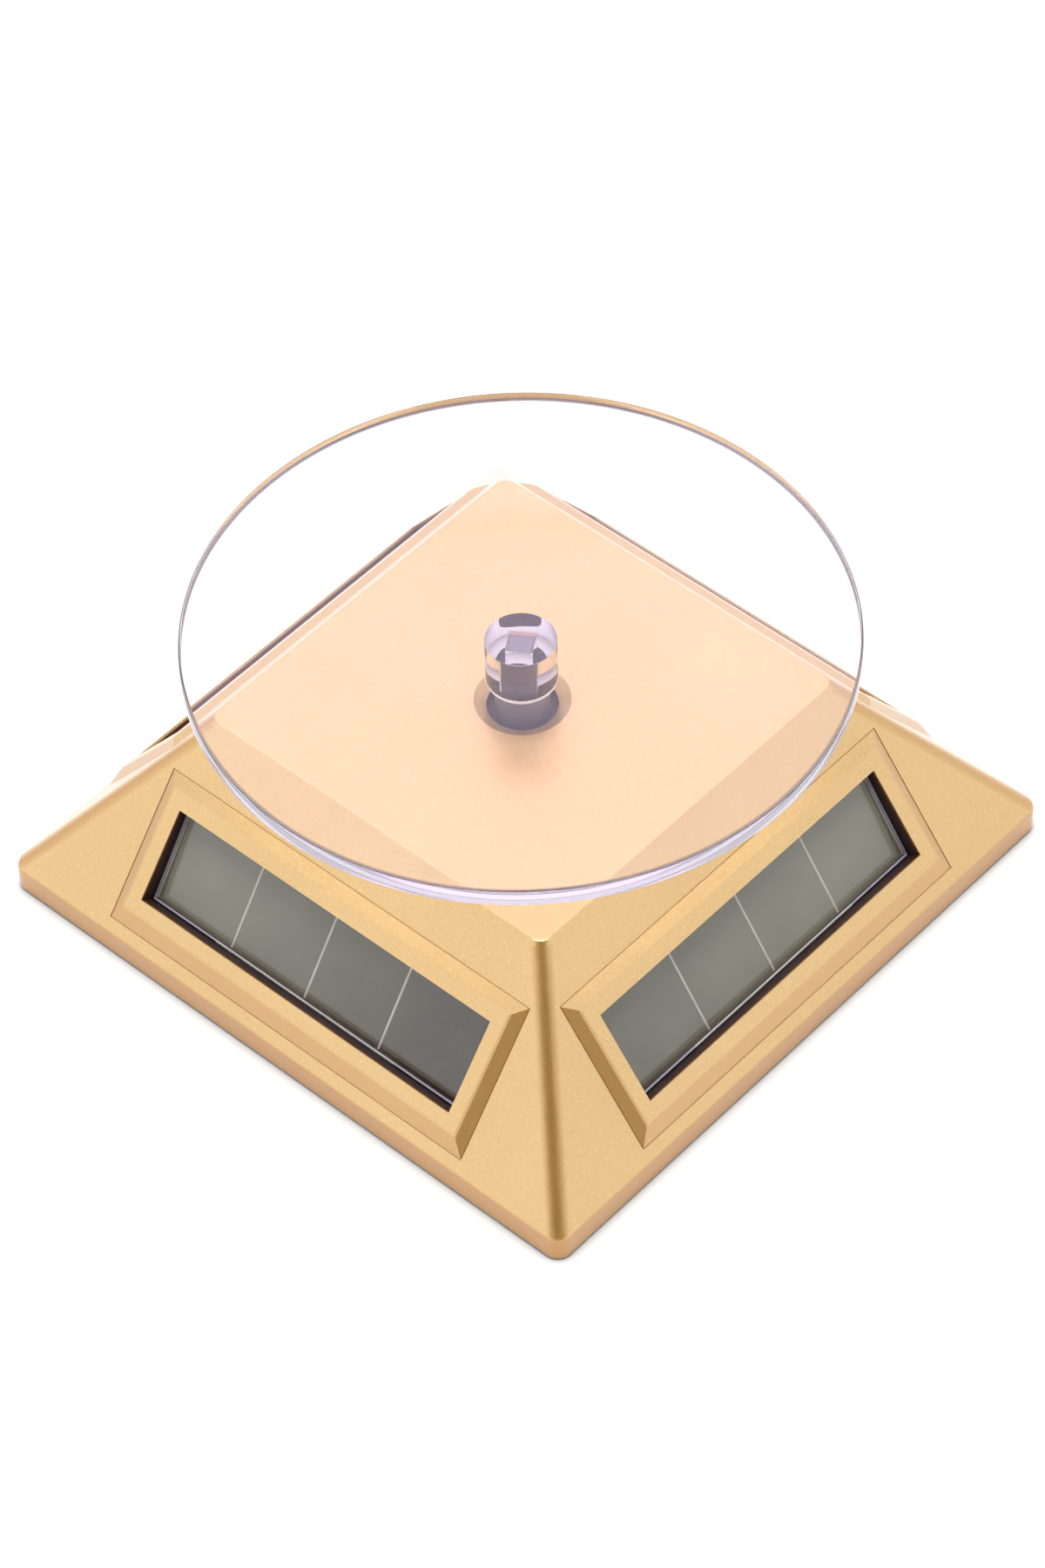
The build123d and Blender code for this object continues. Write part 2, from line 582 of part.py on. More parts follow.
def rotor_windings():
    """A coil of enamelled wire round each pole's neck."""
    coils = []
    for i in range(POLES):
        height = (CORE_Z[0] - COIL_OVER, CORE_Z[1] + COIL_OVER)
        outer = block((COIL_FROM, CORE_R - SHOE_THICK - 1), (-COIL_HALF, COIL_HALF), height)
        outer = fillet(outer.edges().filter_by(Axis.X), COIL_OVER - 0.1)
        coil = outer - block((HUB_R - 0.2, CORE_R), (-NECK_HALF, NECK_HALF), CORE_Z)
        coils.append(Pos(*MOTOR_AT) * Rot(0, 0, 360 / POLES * i) * coil)
    return coils


def commutator():
    low = CAN_LOW + CAP_THICK + 0.1
    return tube(COMMUTATOR_R, low, CORE_Z[0], MOTOR_SHAFT_R, MOTOR_AT)


def motor_shaft():
    return tube(MOTOR_SHAFT_R, MOTOR_SHAFT_Z[0], MOTOR_SHAFT_Z[1], at=MOTOR_AT)


def motor_pinion():
    pinion = toothed_toward(PINION_TEETH, FINE, SHIFT, MOTOR_AT, FIRST_AT, MOTOR_PINION_Z)
    return pinion - tube(MOTOR_SHAFT_R, MOTOR_PINION_Z[0], MOTOR_PINION_Z[1], at=MOTOR_AT)


def motor_screws():
    seat = LOWER_PLATE + PLATE_THICK
    return [screw(1.7, 0.7, PILOT_R, 2.6, at, seat, False) for at in motor_screw_places()]


# ---- bottom cover ----
def bay_limits(grow):
    """The battery bay's inside limits along X and Y, grown outwards."""
    half = BAY_LENGTH / 2 + grow
    side = BAY_WIDTH / 2 + grow
    return (-half, half), (BAY_Y - side, BAY_Y + side)


def bottom_cover():
    """The black cover: plate, battery bay, board posts, screw bosses and recesses."""
    half = COVER_SIDE / 2
    cover = slab((-half, half), (-half, half), (COVER_LOW, COVER_TOP), COVER_CORNER)
    outer_x, outer_y = bay_limits(BAY_WALL)
    inner_x, inner_y = bay_limits(0)
    cover += block(outer_x, outer_y, (COVER_TOP, BAY_ROOF + BAY_WALL))
    cover -= block(inner_x, inner_y, (COVER_LOW, BAY_ROOF))
    for at in corner_places():
        cover += tube(CORNER_BOSS_R + 0.8, COVER_TOP, COVER_BOSS_TOP, at=at)
        cover -= tube(COVER_CLEARANCE_R, COVER_LOW, COVER_BOSS_TOP, at=at)
        cover -= tube(COVER_HEAD_R, COVER_LOW, COVER_LOW + COVER_HEAD_DEPTH, at=at)
    for at in FEET:
        cover -= tube(FOOT_R + 0.1, COVER_LOW, COVER_LOW + FOOT_RECESS, at=at)
    for way in (-1, 1):
        at = (BOARD_AT[0], BOARD_AT[1] + way * (BOARD_SIZE[1] / 2 - 2.5))
        cover += tube(2.0, COVER_TOP, BOARD_Z, at=at)
    door_half = DOOR_LENGTH / 2 + DOOR_PLAY
    door_side = DOOR_WIDTH / 2 + DOOR_PLAY
    recess = block(
        (-door_half, door_half),
        (BAY_Y - door_side, BAY_Y + door_side),
        (COVER_LOW, COVER_LOW + DOOR_THICK + 0.1),
    )
    return cover - recess


def battery_door():
    """The door in the underside: a thin flange, a plug that fills the opening, a finger scoop."""
    half, side = DOOR_LENGTH / 2, DOOR_WIDTH / 2
    flange_z = (COVER_LOW, COVER_LOW + DOOR_THICK)
    door = slab((-half, half), (BAY_Y - side, BAY_Y + side), flange_z, 1.0)
    inner_x, inner_y = bay_limits(-DOOR_PLAY)
    plug_z = (flange_z[1], DOOR_PLUG_TOP)
    door += block(inner_x, inner_y, plug_z)
    door -= block(
        (inner_x[0] + BAY_WALL, inner_x[1] - BAY_WALL), (inner_y[0] + BAY_WALL, inner_y[1] - BAY_WALL), plug_z
    )
    door -= Pos(half - SCOOP_IN, BAY_Y, COVER_LOW) * extrude(Ellipse(2.4, 5.0), SCOOP_DEPTH)
    scoop_z = (COVER_LOW, COVER_LOW + SCOOP_DEPTH)
    for i in (-1, 0, 1):
        x = half - SCOOP_IN + i * SCOOP_RIB_STEP
        door += block((x - 0.2, x + 0.2), (BAY_Y - 3, BAY_Y + 3), scoop_z)
    return door


def cover_screws():
    seat = COVER_LOW + COVER_HEAD_DEPTH
    return [screw(2.2, 1.5, COVER_PILOT_R, 7.0, at, seat, True) for at in corner_places()]


def feet():
    pads = []
    for at in FEET:
        pad = tube(FOOT_R, 0, FOOT_THICK, at=at)
        pads.append(fillet(edges_at(pad, 0), 0.3))
    return pads


# ---- battery contacts ----
BAY_MID_Z = (COVER_TOP + BAY_ROOF) / 2
PLATE_METAL = 0.4
SPRING_WIRE = 0.4


def contact_tab(x):
    """The sheet-metal tab that stands against one end of the bay."""
    tab = block((x, x + PLATE_METAL), (BAY_Y - 5.5, BAY_Y + 5.5), (BAY_MID_Z - 6, BAY_MID_Z + 6))
    tail = block((x, x + PLATE_METAL), (BAY_Y - 1.5, BAY_Y + 1.5), (BAY_MID_Z + 5, BAY_ROOF))
    return tab + tail


def battery_contact_plate():
    """The flat contact at the +X end, with a pressed dimple."""
    x = BAY_LENGTH / 2 - PLATE_METAL
    dimple = Pos(x, BAY_Y, BAY_MID_Z) * Rot(0, -90, 0) * Cone(
        3.2, 2.2, 0.5, align=(Align.CENTER, Align.CENTER, Align.MIN)
    )
    return contact_tab(x) + dimple


def battery_contact_spring():
    """The conical spring at the -X end, four turns, on its own tab."""
    x = -BAY_LENGTH / 2
    path = Helix(pitch=1.1, height=4.4, radius=4.2, cone_angle=-18)
    wire = sweep(Plane(origin=path @ 0, z_dir=path % 0) * Circle(SPRING_WIRE), path, is_frenet=True)
    placed = Pos(x + PLATE_METAL + SPRING_WIRE * 0.6, BAY_Y, BAY_MID_Z) * Rot(0, 90, 0) * wire
    return contact_tab(x) + placed


# ---- circuit board ----
def circuit_board():
    x, y, thick = BOARD_SIZE
    at = BOARD_AT
    board = block(
        (at[0] - x / 2, at[0] + x / 2), (at[1] - y / 2, at[1] + y / 2), (BOARD_Z, BOARD_Z + thick)
    )
    return fillet(board.edges().filter_by(Axis.Z), 0.8)


def capacitor():
    """An electrolytic capacitor standing on the board."""
    low = BOARD_Z + BOARD_SIZE[2]
    can = tube(CAPACITOR_R, low, low + CAPACITOR_HEIGHT, at=CAPACITOR_AT)
    can = fillet(edges_at(can, low + CAPACITOR_HEIGHT), 0.5)
    groove = tube(CAPACITOR_R + 1, low + 1.4, low + 2.0, CAPACITOR_R - 0.25, CAPACITOR_AT)
    return can - groove


def diode():
    """The blocking diode: a small barrel lying on the board."""
    z = BOARD_Z + BOARD_SIZE[2] + 1.0
    barrel = Pos(BOARD_AT[0] + 2, BOARD_AT[1] - 8, z) * Rot(0, 90, 0) * Cylinder(1.0, 4.2)
    leads = Pos(BOARD_AT[0] + 2, BOARD_AT[1] - 8, z) * Rot(0, 90, 0) * Cylinder(0.3, 9.0)
    feet_z = (BOARD_Z + BOARD_SIZE[2], z)
    for way in (-1, 1):
        x = BOARD_AT[0] + 2 + way * 4.2
        leads += tube(0.3, feet_z[0], feet_z[1], at=(x, BOARD_AT[1] - 8))
    return barrel + leads


def named_parts():
    """Every piece, by the name of its node."""
    panels = {f"solar_panel_{side}": Rot(0, 0, turn) * solar_panel() for side, turn in SIDES.items()}
    return {
        "upper_housing": upper_housing(),
        "bottom_cover": bottom_cover(),
        "battery_door": battery_door(),
        **panels,
        "panel_adhesive": panel_adhesive(),
        "turntable_disc": turntable_disc(),
        "centre_post": centre_post(),
        "output_shaft": output_shaft(),
        "output_gear": output_gear(),
        "third_gear": third_gear(),
        "second_gear": second_gear(),
        "first_gear": first_gear(),
        "gear_pins": gear_pins(),
        "gear_frame_lower": gear_frame_lower(),
        "gear_frame_upper": gear_frame_upper(),
        "frame_screws": frame_screws(),
        "mounting_screws": mounting_screws(),
        "motor_can": motor_can(),
        "motor_end_cap": motor_end_cap(),
        "motor_terminals": motor_terminals(),
        "motor_brushes": motor_brushes(),
        "motor_bushes": motor_bushes(),
        "motor_magnets": motor_magnets(),
        "motor_shaft": motor_shaft(),
        "motor_pinion": motor_pinion(),
        "rotor_core": rotor_core(),
        "rotor_windings": rotor_windings(),
        "commutator": commutator(),
        "motor_screws": motor_screws(),
        "battery_contact_spring": battery_contact_spring(),
        "battery_contact_plate": battery_contact_plate(),
        "circuit_board": circuit_board(),
        "capacitor": capacitor(),
        "diode": diode(),
        "cover_screws": cover_screws(),
        "feet": feet(),
    }


def write_parts():
    os.makedirs("parts", exist_ok=True)
    for name, shape in named_parts().items():
        if isinstance(shape, (list, ShapeList)):
            shape = Compound(children=list(shape))
        export_step(shape, f"parts/{name}.step")


write_parts()
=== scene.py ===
import math

import bpy
import numpy as np
from mathutils import Matrix


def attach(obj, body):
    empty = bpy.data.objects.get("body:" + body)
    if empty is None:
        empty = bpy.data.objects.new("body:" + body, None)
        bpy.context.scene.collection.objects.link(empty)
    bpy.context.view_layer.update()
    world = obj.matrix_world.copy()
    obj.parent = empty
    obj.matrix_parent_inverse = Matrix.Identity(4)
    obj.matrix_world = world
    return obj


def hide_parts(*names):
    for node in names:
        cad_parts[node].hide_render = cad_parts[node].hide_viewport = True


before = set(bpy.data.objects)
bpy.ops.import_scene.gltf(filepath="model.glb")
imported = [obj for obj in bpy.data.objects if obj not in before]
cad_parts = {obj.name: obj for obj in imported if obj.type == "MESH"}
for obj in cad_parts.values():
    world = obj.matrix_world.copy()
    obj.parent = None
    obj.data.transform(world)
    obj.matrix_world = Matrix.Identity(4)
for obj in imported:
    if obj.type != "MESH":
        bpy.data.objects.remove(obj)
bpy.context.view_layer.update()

MM = 0.001

# ---- camera ----
# A long lens looks down at the front right corner of the stand from about 750 mm away.
# The stand fills the width of an upright picture.
CAMERA_AZIMUTH = math.radians(43.02)
CAMERA_ELEVATION = math.radians(48.29)
CAMERA_ROLL = math.radians(-1.81)
CAMERA_DISTANCE = 753.9 * MM
CAMERA_LOOKS_AT = np.array([11.55, -12.93, 34.6]) * MM
CAMERA_LENS = 125.7
SENSOR_WIDTH = 36.0
NEAREST_SEEN = 20.0 * MM
LIGHT_BOUNCES = 40


def camera_axes(azimuth, elevation, roll):
    """Right, up and backward axes. Backward points from the target to the lens; right is level
    and square to it, up is square to both, and the roll turns these two about backward."""
    back = np.array([
        math.sin(azimuth) * math.cos(elevation),
        -math.cos(azimuth) * math.cos(elevation),
        math.sin(elevation),
    ])
    level = np.array([math.cos(azimuth), math.sin(azimuth), 0.0])
    steep = np.cross(back, level)
    right = math.cos(roll) * level + math.sin(roll) * steep
    up = math.cos(roll) * steep - math.sin(roll) * level
    return right, up, back


lens = bpy.data.cameras.new("stand_camera")
lens.lens = CAMERA_LENS
lens.sensor_width = SENSOR_WIDTH
lens.clip_start = NEAREST_SEEN
camera = bpy.data.objects.new("stand_camera", lens)
bpy.context.scene.collection.objects.link(camera)
axes = camera_axes(CAMERA_AZIMUTH, CAMERA_ELEVATION, CAMERA_ROLL)
camera_place = np.eye(4)
camera_place[:3, :3] = np.column_stack(axes)
camera_place[:3, 3] = CAMERA_LOOKS_AT + axes[2] * CAMERA_DISTANCE
camera.matrix_world = Matrix(camera_place.tolist())
bpy.context.scene.camera = camera
bpy.context.scene.view_settings.view_transform = "Standard"
# Light runs a long way along inside the clear disc before it leaves at the rim.
bpy.context.scene.cycles.max_bounces = LIGHT_BOUNCES
bpy.context.scene.cycles.transmission_bounces = LIGHT_BOUNCES
bpy.context.scene.cycles.glossy_bounces = LIGHT_BOUNCES

# ---- studio: white table and soft light ----
# The stand is on a wide white sheet. The light is a white tent, brighter where its lamps are
# behind the cloth and dark where the camera looks in through the opening.
TABLE_HALF = 900.0 * MM
TABLE_WHITE = 0.9
TENT_GLOW = 0.95
TENT_LAMPS = [
    # azimuth, elevation, half width of the bright patch, softness, strength, colour
    (-118.0, 17.0, 18.0, 30.0, 0.35, (1.0, 0.98, 0.95)),
    (30.0, 15.0, 18.0, 30.0, 0.22, (1.0, 0.98, 0.95)),
    (133.0, 48.0, 10.0, 12.0, 1.05, (1.0, 0.68, 1.05)),
]
TENT_OPENING = (-45.0, 34.0, 18.0, 24.0)
TENT_DARK = (0.10, 0.09, 0.09, 1.0)
OVERHEAD_SIZE = 900.0 * MM
OVERHEAD_HEIGHT = 1500.0 * MM
OVERHEAD_POWER = 14.0


def put(tree, kind, sockets=None, **settings):
    """Adds one shader node. A socket that is given another node's output is wired to it, and
    anything else becomes the socket's own value."""
    node = tree.nodes.new(kind)
    for name, value in settings.items():
        setattr(node, name, value)
    for name, value in (sockets or {}).items():
        if isinstance(value, bpy.types.NodeSocket):
            tree.links.new(value, node.inputs[name])
        else:
            node.inputs[name].default_value = value
    return node


def calc(tree, operation, *values):
    """The output of one Math node, with its values in order."""
    return put(tree, "ShaderNodeMath", dict(enumerate(values)), operation=operation).outputs[0]


def step_up(tree, value, low, high):
    """Rises smoothly from 0 to 1 as value goes from low to high; falls if low is above high."""
    turned = low > high
    sockets = {"Value": value, "From Min": min(low, high), "From Max": max(low, high)}
    sockets["To Min"] = 1.0 if turned else 0.0
    sockets["To Max"] = 0.0 if turned else 1.0
    return put(tree, "ShaderNodeMapRange", sockets, interpolation_type="SMOOTHSTEP").outputs[0]


def mixed(tree, share, first, second, blend="MIX"):
    """The output of a colour Mix node."""
    node = put(tree, "ShaderNodeMix", {0: share, 6: first, 7: second}, data_type="RGBA")
    node.blend_type = blend
    return node.outputs[2]


def paint_chart(red, green, blue):
    """A colour from its 0 to 255 shades, as the linear values that a shader takes: each shade
    over 255, raised to the display's curve."""
    shades = np.array([red, green, blue]) / 255.0
    low = shades / 12.92
    high = ((shades + 0.055) / 1.055) ** 2.4
    return (*np.where(shades <= 0.04045, low, high).tolist(), 1.0)


def towards(azimuth, elevation):
    """A unit direction from a compass angle about Z and an angle above the table, in degrees."""
    turn, rise = math.radians(azimuth), math.radians(elevation)
    return (math.cos(turn) * math.cos(rise), math.sin(turn) * math.cos(rise), math.sin(rise))


def tent_patch(tree, looking, azimuth, elevation, half_width, softness):
    """1 inside a round patch of the tent and 0 outside it, by the cosine of the angle to its
    middle."""
    sockets = {0: looking, 1: towards(azimuth, elevation)}
    cosine = put(tree, "ShaderNodeVectorMath", sockets, operation="DOT_PRODUCT").outputs["Value"]
    inner = math.cos(math.radians(half_width))
    outer = math.cos(math.radians(half_width + softness))
    return step_up(tree, cosine, outer, inner)


tent = bpy.data.worlds.new("light_tent")
tent.use_nodes = True
tent.node_tree.nodes.clear()
looking = put(tent.node_tree, "ShaderNodeTexCoord").outputs["Generated"]
glow = (TENT_GLOW, TENT_GLOW, TENT_GLOW, 1.0)
for azimuth, elevation, half_width, softness, strength, tint in TENT_LAMPS:
    patch = tent_patch(tent.node_tree, looking, azimuth, elevation, half_width, softness)
    lamp = (*[strength * shade for shade in tint], 1.0)
    glow = mixed(tent.node_tree, patch, glow, lamp, "ADD")
opening = tent_patch(tent.node_tree, looking, *TENT_OPENING)
glow = mixed(tent.node_tree, opening, glow, TENT_DARK)
tent_light = put(tent.node_tree, "ShaderNodeBackground", {"Color": glow, "Strength": 1.0})
put(tent.node_tree, "ShaderNodeOutputWorld", {"Surface": tent_light.outputs[0]})
bpy.context.scene.world = tent

overhead = bpy.data.lights.new("overhead_softbox", "AREA")
overhead.shape = "DISK"
overhead.size = OVERHEAD_SIZE
overhead.energy = OVERHEAD_POWER
overhead_object = bpy.data.objects.new("overhead_softbox", overhead)
overhead_object.location = (0.0, 0.0, OVERHEAD_HEIGHT)
overhead_object.visible_glossy = False
bpy.context.scene.collection.objects.link(overhead_object)


def new_finish(name, **values):
    """A material with one Principled shader, its plain values set by socket name."""
    material = bpy.data.materials.new(name)
    material.use_nodes = True
    tree = material.node_tree
    tree.nodes.clear()
    sockets = {label.replace("_", " "): value for label, value in values.items()}
    shader = put(tree, "ShaderNodeBsdfPrincipled", sockets)
    put(tree, "ShaderNodeOutputMaterial", {"Surface": shader.outputs[0]})
    return material, tree, shader


def feed(tree, shader, label, value):
    """Wires a varying value into one of the shader's sockets."""
    tree.links.new(value, shader.inputs[label])


def bumped(tree, shader, height, depth):
    """Roughens a surface: height from 0 to 1 stands for a depth in millimetres."""
    sockets = {"Height": height, "Distance": depth * MM, "Strength": 1.0}
    feed(tree, shader, "Normal", put(tree, "ShaderNodeBump", sockets).outputs[0])


def mesh_piece(name, points, faces, smooth):
    """A new object from points in metres and faces; smooth says which faces are shaded round."""
    mesh = bpy.data.meshes.new(name)
    mesh.from_pydata(np.asarray(points).tolist(), [], faces)
    mesh.polygons.foreach_set("use_smooth", smooth)
    mesh.update()
    piece = bpy.data.objects.new(name, mesh)
    bpy.context.scene.collection.objects.link(piece)
    return piece


table_corners = np.array([[-1, -1, 0], [1, -1, 0], [1, 1, 0], [-1, 1, 0]]) * TABLE_HALF
table = mesh_piece("white_table", table_corners, [(0, 1, 2, 3)], [False])
table_white, tree, shader = new_finish("table_white", Roughness=0.75)
shader.inputs["Base Color"].default_value = (TABLE_WHITE, TABLE_WHITE, TABLE_WHITE, 1.0)
shader.inputs["Specular IOR Level"].default_value = 0.2
table.data.materials.append(table_white)

# ---- upper housing ----
# The square pyramid is moulded in black ABS with a raised bezel round each window, and its
# outside is sprayed with a fine gold metal-flake paint. Inside and underneath stay black.
BAND_TOP = 4.4
BASE_HALF = 52.5
SLOPE_RISE, SLOPE_RUN = 27.3, 21.4
SLOPE = math.atan2(SLOPE_RISE, SLOPE_RUN)
WINDOW_HALF = 29.4
WINDOW_FROM, WINDOW_TO = 7.2, 21.8
WALL_DEPTH = 0.65
WINDOW_HIGHEST = 24.0
INNER_DEPTH, INNER_HEIGHT, INNER_HALF = 1.0, 30.3, 51.6
UNDERSIDE = 0.45
GOLD = paint_chart(224, 188, 122)
GOLD_DEEP = paint_chart(204, 163, 96)
# The next shade of gold is painted shade, for faces that reflect dark surroundings.
GOLD_PAINTED_SHADE = paint_chart(186, 130, 32)
ARRIS_REACH = (1.3, 2.5)
ARRIS_FOOT, ARRIS_TOP = (3.6, 4.4), (30.9, 31.3)
PAINT_METAL = 0.72
BARE_PLASTIC = paint_chart(34, 20, 16)
WALL_TOP_BROWN = paint_chart(74, 26, 8)
FLAKE_SIZE = 0.16


def new_effect(name, inputs, outputs):
    """An empty node group with named number or colour inputs and outputs. Gives the tree, the
    sockets that its inputs arrive on, and the sockets that its outputs leave by."""
    tree = bpy.data.node_groups.new(name, "ShaderNodeTree")
    for label, value in inputs.items():
        kind = "NodeSocketColor" if isinstance(value, tuple) else "NodeSocketFloat"
        tree.interface.new_socket(label, in_out="INPUT", socket_type=kind).default_value = value
    for label in outputs:
        tree.interface.new_socket(label, in_out="OUTPUT", socket_type="NodeSocketFloat")
    arrive = tree.nodes.new("NodeGroupInput").outputs
    leave = tree.nodes.new("NodeGroupOutput").inputs
    return tree, arrive, leave


def use_effect(tree, group, **values):
    """Places a node group in a material with its own values, and gives its outputs."""
    node = put(tree, "ShaderNodeGroup", node_tree=group)
    for label, value in values.items():
        node.inputs[label].default_value = value
    return node.outputs


def in_millimetres(tree):
    """The point on the piece, in millimetres from the stand's origin."""
    point = put(tree, "ShaderNodeTexCoord").outputs["Object"]
    sockets = {0: point, "Scale": 1.0 / MM}
    return put(tree, "ShaderNodeVectorMath", sockets, operation="SCALE").outputs[0]


def noise(tree, point, per_mm, detail=2.0, roughness=0.5):
    """Noise from 0 to 1 with so many waves to the millimetre."""
    sockets = {"Vector": point, "Scale": per_mm, "Detail": detail, "Roughness": roughness}
    return put(tree, "ShaderNodeTexNoise", sockets).outputs[0]


# The fine eroded surface of a mould: a Height for the bump and a slow Tone.
mould_grain, arrive, leave = new_effect("mould_grain", {"Per mm": 2.5}, ["Height", "Tone"])
point = in_millimetres(mould_grain)
mould_grain.links.new(noise(mould_grain, point, arrive["Per mm"], 3.0, 0.6), leave["Height"])
mould_grain.links.new(noise(mould_grain, point, 0.06), leave["Tone"])

# Hairline rubs from handling: two stretched noises, cut to their thin crests.
handling, arrive, leave = new_effect("handling_marks", {"Amount": 0.5}, ["Hairlines", "Smudge"])
point = in_millimetres(handling)
lines = []
for turn, stretch in ((0.5, (0.05, 2.2, 2.2)), (-0.9, (2.0, 0.04, 2.0))):
    sockets = {"Vector": point, "Rotation": (turn, turn * 0.7, turn), "Scale": stretch}
    drawn_out = put(handling, "ShaderNodeMapping", sockets).outputs[0]
    lines.append(step_up(handling, noise(handling, drawn_out, 1.0, 1.0), 0.70, 0.76))
hairlines = calc(handling, "MULTIPLY", calc(handling, "MAXIMUM", *lines), arrive["Amount"])
handling.links.new(hairlines, leave["Hairlines"])
smudge = step_up(handling, noise(handling, point, 0.09, 3.0, 0.6), 0.5, 0.72)
handling.links.new(calc(handling, "MULTIPLY", smudge, arrive["Amount"]), leave["Smudge"])

# Dust that settles on faces that look up, in specks and a thin film.
dust, arrive, leave = new_effect("settled_dust", {"Amount": 0.3}, ["Dust"])
facing = put(dust, "ShaderNodeNewGeometry").outputs["Normal"]
upward = put(dust, "ShaderNodeSeparateXYZ", {0: facing}).outputs["Z"]
point = in_millimetres(dust)
specks = step_up(dust, noise(dust, point, 1.6, 1.0), 0.74, 0.82)
film = calc(dust, "MULTIPLY", noise(dust, point, 0.12, 3.0), 0.25)
amount = calc(dust, "MULTIPLY", step_up(dust, upward, 0.3, 0.95), arrive["Amount"])
settled = calc(dust, "MULTIPLY", calc(dust, "ADD", specks, film), amount)
dust.links.new(settled, leave["Dust"])

gold_paint, tree, shader = new_finish("gold_paint", Coat_Roughness=0.25, Coat_IOR=1.8)
point = in_millimetres(tree)
axis_parts = put(tree, "ShaderNodeSeparateXYZ", {0: point}).outputs
reach_x, reach_y = (calc(tree, "ABSOLUTE", axis_parts[i]) for i in (0, 1))
outward = calc(tree, "MAXIMUM", reach_x, reach_y)
sideways = calc(tree, "MINIMUM", reach_x, reach_y)
inset = calc(tree, "SUBTRACT", BASE_HALF, outward)
risen = calc(tree, "SUBTRACT", axis_parts[2], BAND_TOP)
up_slope = calc(
    tree, "ADD",
    calc(tree, "MULTIPLY", inset, math.cos(SLOPE)), calc(tree, "MULTIPLY", risen, math.sin(SLOPE)),
)
off_slope = calc(
    tree, "SUBTRACT",
    calc(tree, "MULTIPLY", risen, math.cos(SLOPE)), calc(tree, "MULTIPLY", inset, math.sin(SLOPE)),
)


def both(tree, *masks):
    """1 only where every mask is 1: their product."""
    product = masks[0]
    for mask in masks[1:]:
        product = calc(tree, "MULTIPLY", product, mask)
    return product


# The walls of the windows are coloured dark red-brown, darkest deeper into the recess, without the paint's
# metal and coat; inside and underneath are bare black plastic.
in_window = both(
    tree,
    calc(tree, "LESS_THAN", sideways, WINDOW_HALF),
    calc(tree, "GREATER_THAN", up_slope, WINDOW_FROM),
    calc(tree, "LESS_THAN", up_slope, WINDOW_TO),
    calc(tree, "LESS_THAN", off_slope, WALL_DEPTH),
    calc(tree, "LESS_THAN", axis_parts[2], WINDOW_HIGHEST),
)
inside = both(
    tree,
    calc(tree, "LESS_THAN", off_slope, -INNER_DEPTH),
    calc(tree, "LESS_THAN", axis_parts[2], INNER_HEIGHT),
    calc(tree, "LESS_THAN", outward, INNER_HALF),
)
underneath = calc(tree, "LESS_THAN", axis_parts[2], UNDERSIDE)
unpainted = calc(tree, "MAXIMUM", calc(tree, "MAXIMUM", in_window, inside), underneath)
fade = step_up(tree, off_slope, -0.6, 0.8)
window_colour = mixed(tree, fade, BARE_PLASTIC, WALL_TOP_BROWN)
flake_sockets = {"Vector": point, "Scale": 1.0 / FLAKE_SIZE, "Randomness": 1.0}
flakes = put(tree, "ShaderNodeTexVoronoi", flake_sockets).outputs["Color"]
flake = put(tree, "ShaderNodeSeparateColor", {0: flakes}).outputs[0]
wash = noise(tree, point, 0.05, 2.0)
tone = calc(tree, "ADD", calc(tree, "MULTIPLY", flake, 0.5), calc(tree, "MULTIPLY", wash, 0.5))
gold = mixed(tree, tone, GOLD_DEEP, GOLD)
bright_flake = step_up(tree, flake, 0.95, 1.0)
gold = mixed(tree, calc(tree, "MULTIPLY", bright_flake, 0.2), gold, paint_chart(255, 240, 200))
# The gold is painted darker on the arrises, on steep walls and on faces turned to a corner: painted shade
# standing in for the dark tent opening and the shaded table that these faces reflect.
off_arris = calc(tree, "ABSOLUTE", calc(tree, "SUBTRACT", outward, sideways))
on_arris = calc(tree, "MULTIPLY", step_up(tree, off_arris, ARRIS_REACH[1], ARRIS_REACH[0]), 0.5)
on_arris = both(
    tree, on_arris,
    step_up(tree, axis_parts[2], ARRIS_TOP[1], ARRIS_TOP[0]),
    step_up(tree, axis_parts[2], *ARRIS_FOOT),
)
facing = put(tree, "ShaderNodeNewGeometry").outputs["Normal"]
facing_parts = put(tree, "ShaderNodeSeparateXYZ", {0: facing}).outputs
steep = step_up(tree, facing_parts["Z"], 0.6, 0.05)
slanted = calc(
    tree, "MINIMUM",
    calc(tree, "ABSOLUTE", facing_parts["X"]), calc(tree, "ABSOLUTE", facing_parts["Y"]),
)
slanted = calc(tree, "MULTIPLY", step_up(tree, slanted, 0.12, 0.45), 0.7)
painted_shade = calc(tree, "MAXIMUM", calc(tree, "MAXIMUM", on_arris, steep), slanted)
gold = mixed(tree, painted_shade, gold, GOLD_PAINTED_SHADE)
marks = use_effect(tree, handling, Amount=0.03)
settled = use_effect(tree, dust, Amount=0.015)["Dust"]
gold = mixed(tree, marks["Hairlines"], gold, GOLD_DEEP)
gold = mixed(tree, settled, gold, paint_chart(225, 222, 214))
feed(tree, shader, "Base Color", mixed(tree, unpainted, gold, window_colour))
painted = calc(tree, "SUBTRACT", 1.0, unpainted)
feed(tree, shader, "Metallic", calc(tree, "MULTIPLY", painted, PAINT_METAL))
feed(tree, shader, "Coat Weight", painted)
rough = calc(tree, "ADD", calc(tree, "MULTIPLY", flake, 0.09), 0.375)
rough = calc(tree, "ADD", rough, calc(tree, "MULTIPLY", marks["Smudge"], 0.4))
feed(tree, shader, "Roughness", calc(tree, "ADD", rough, calc(tree, "MULTIPLY", unpainted, 0.3)))
bumped(tree, shader, calc(tree, "ADD", flake, noise(tree, point, 1.4, 3.0)), 0.012)


def give_finish(finish, *names):
    """Puts one finish on CAD nodes that keep their shape."""
    for name in names:
        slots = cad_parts[name].data.materials
        slots.clear()
        slots.append(finish)


give_finish(gold_paint, "upper_housing")

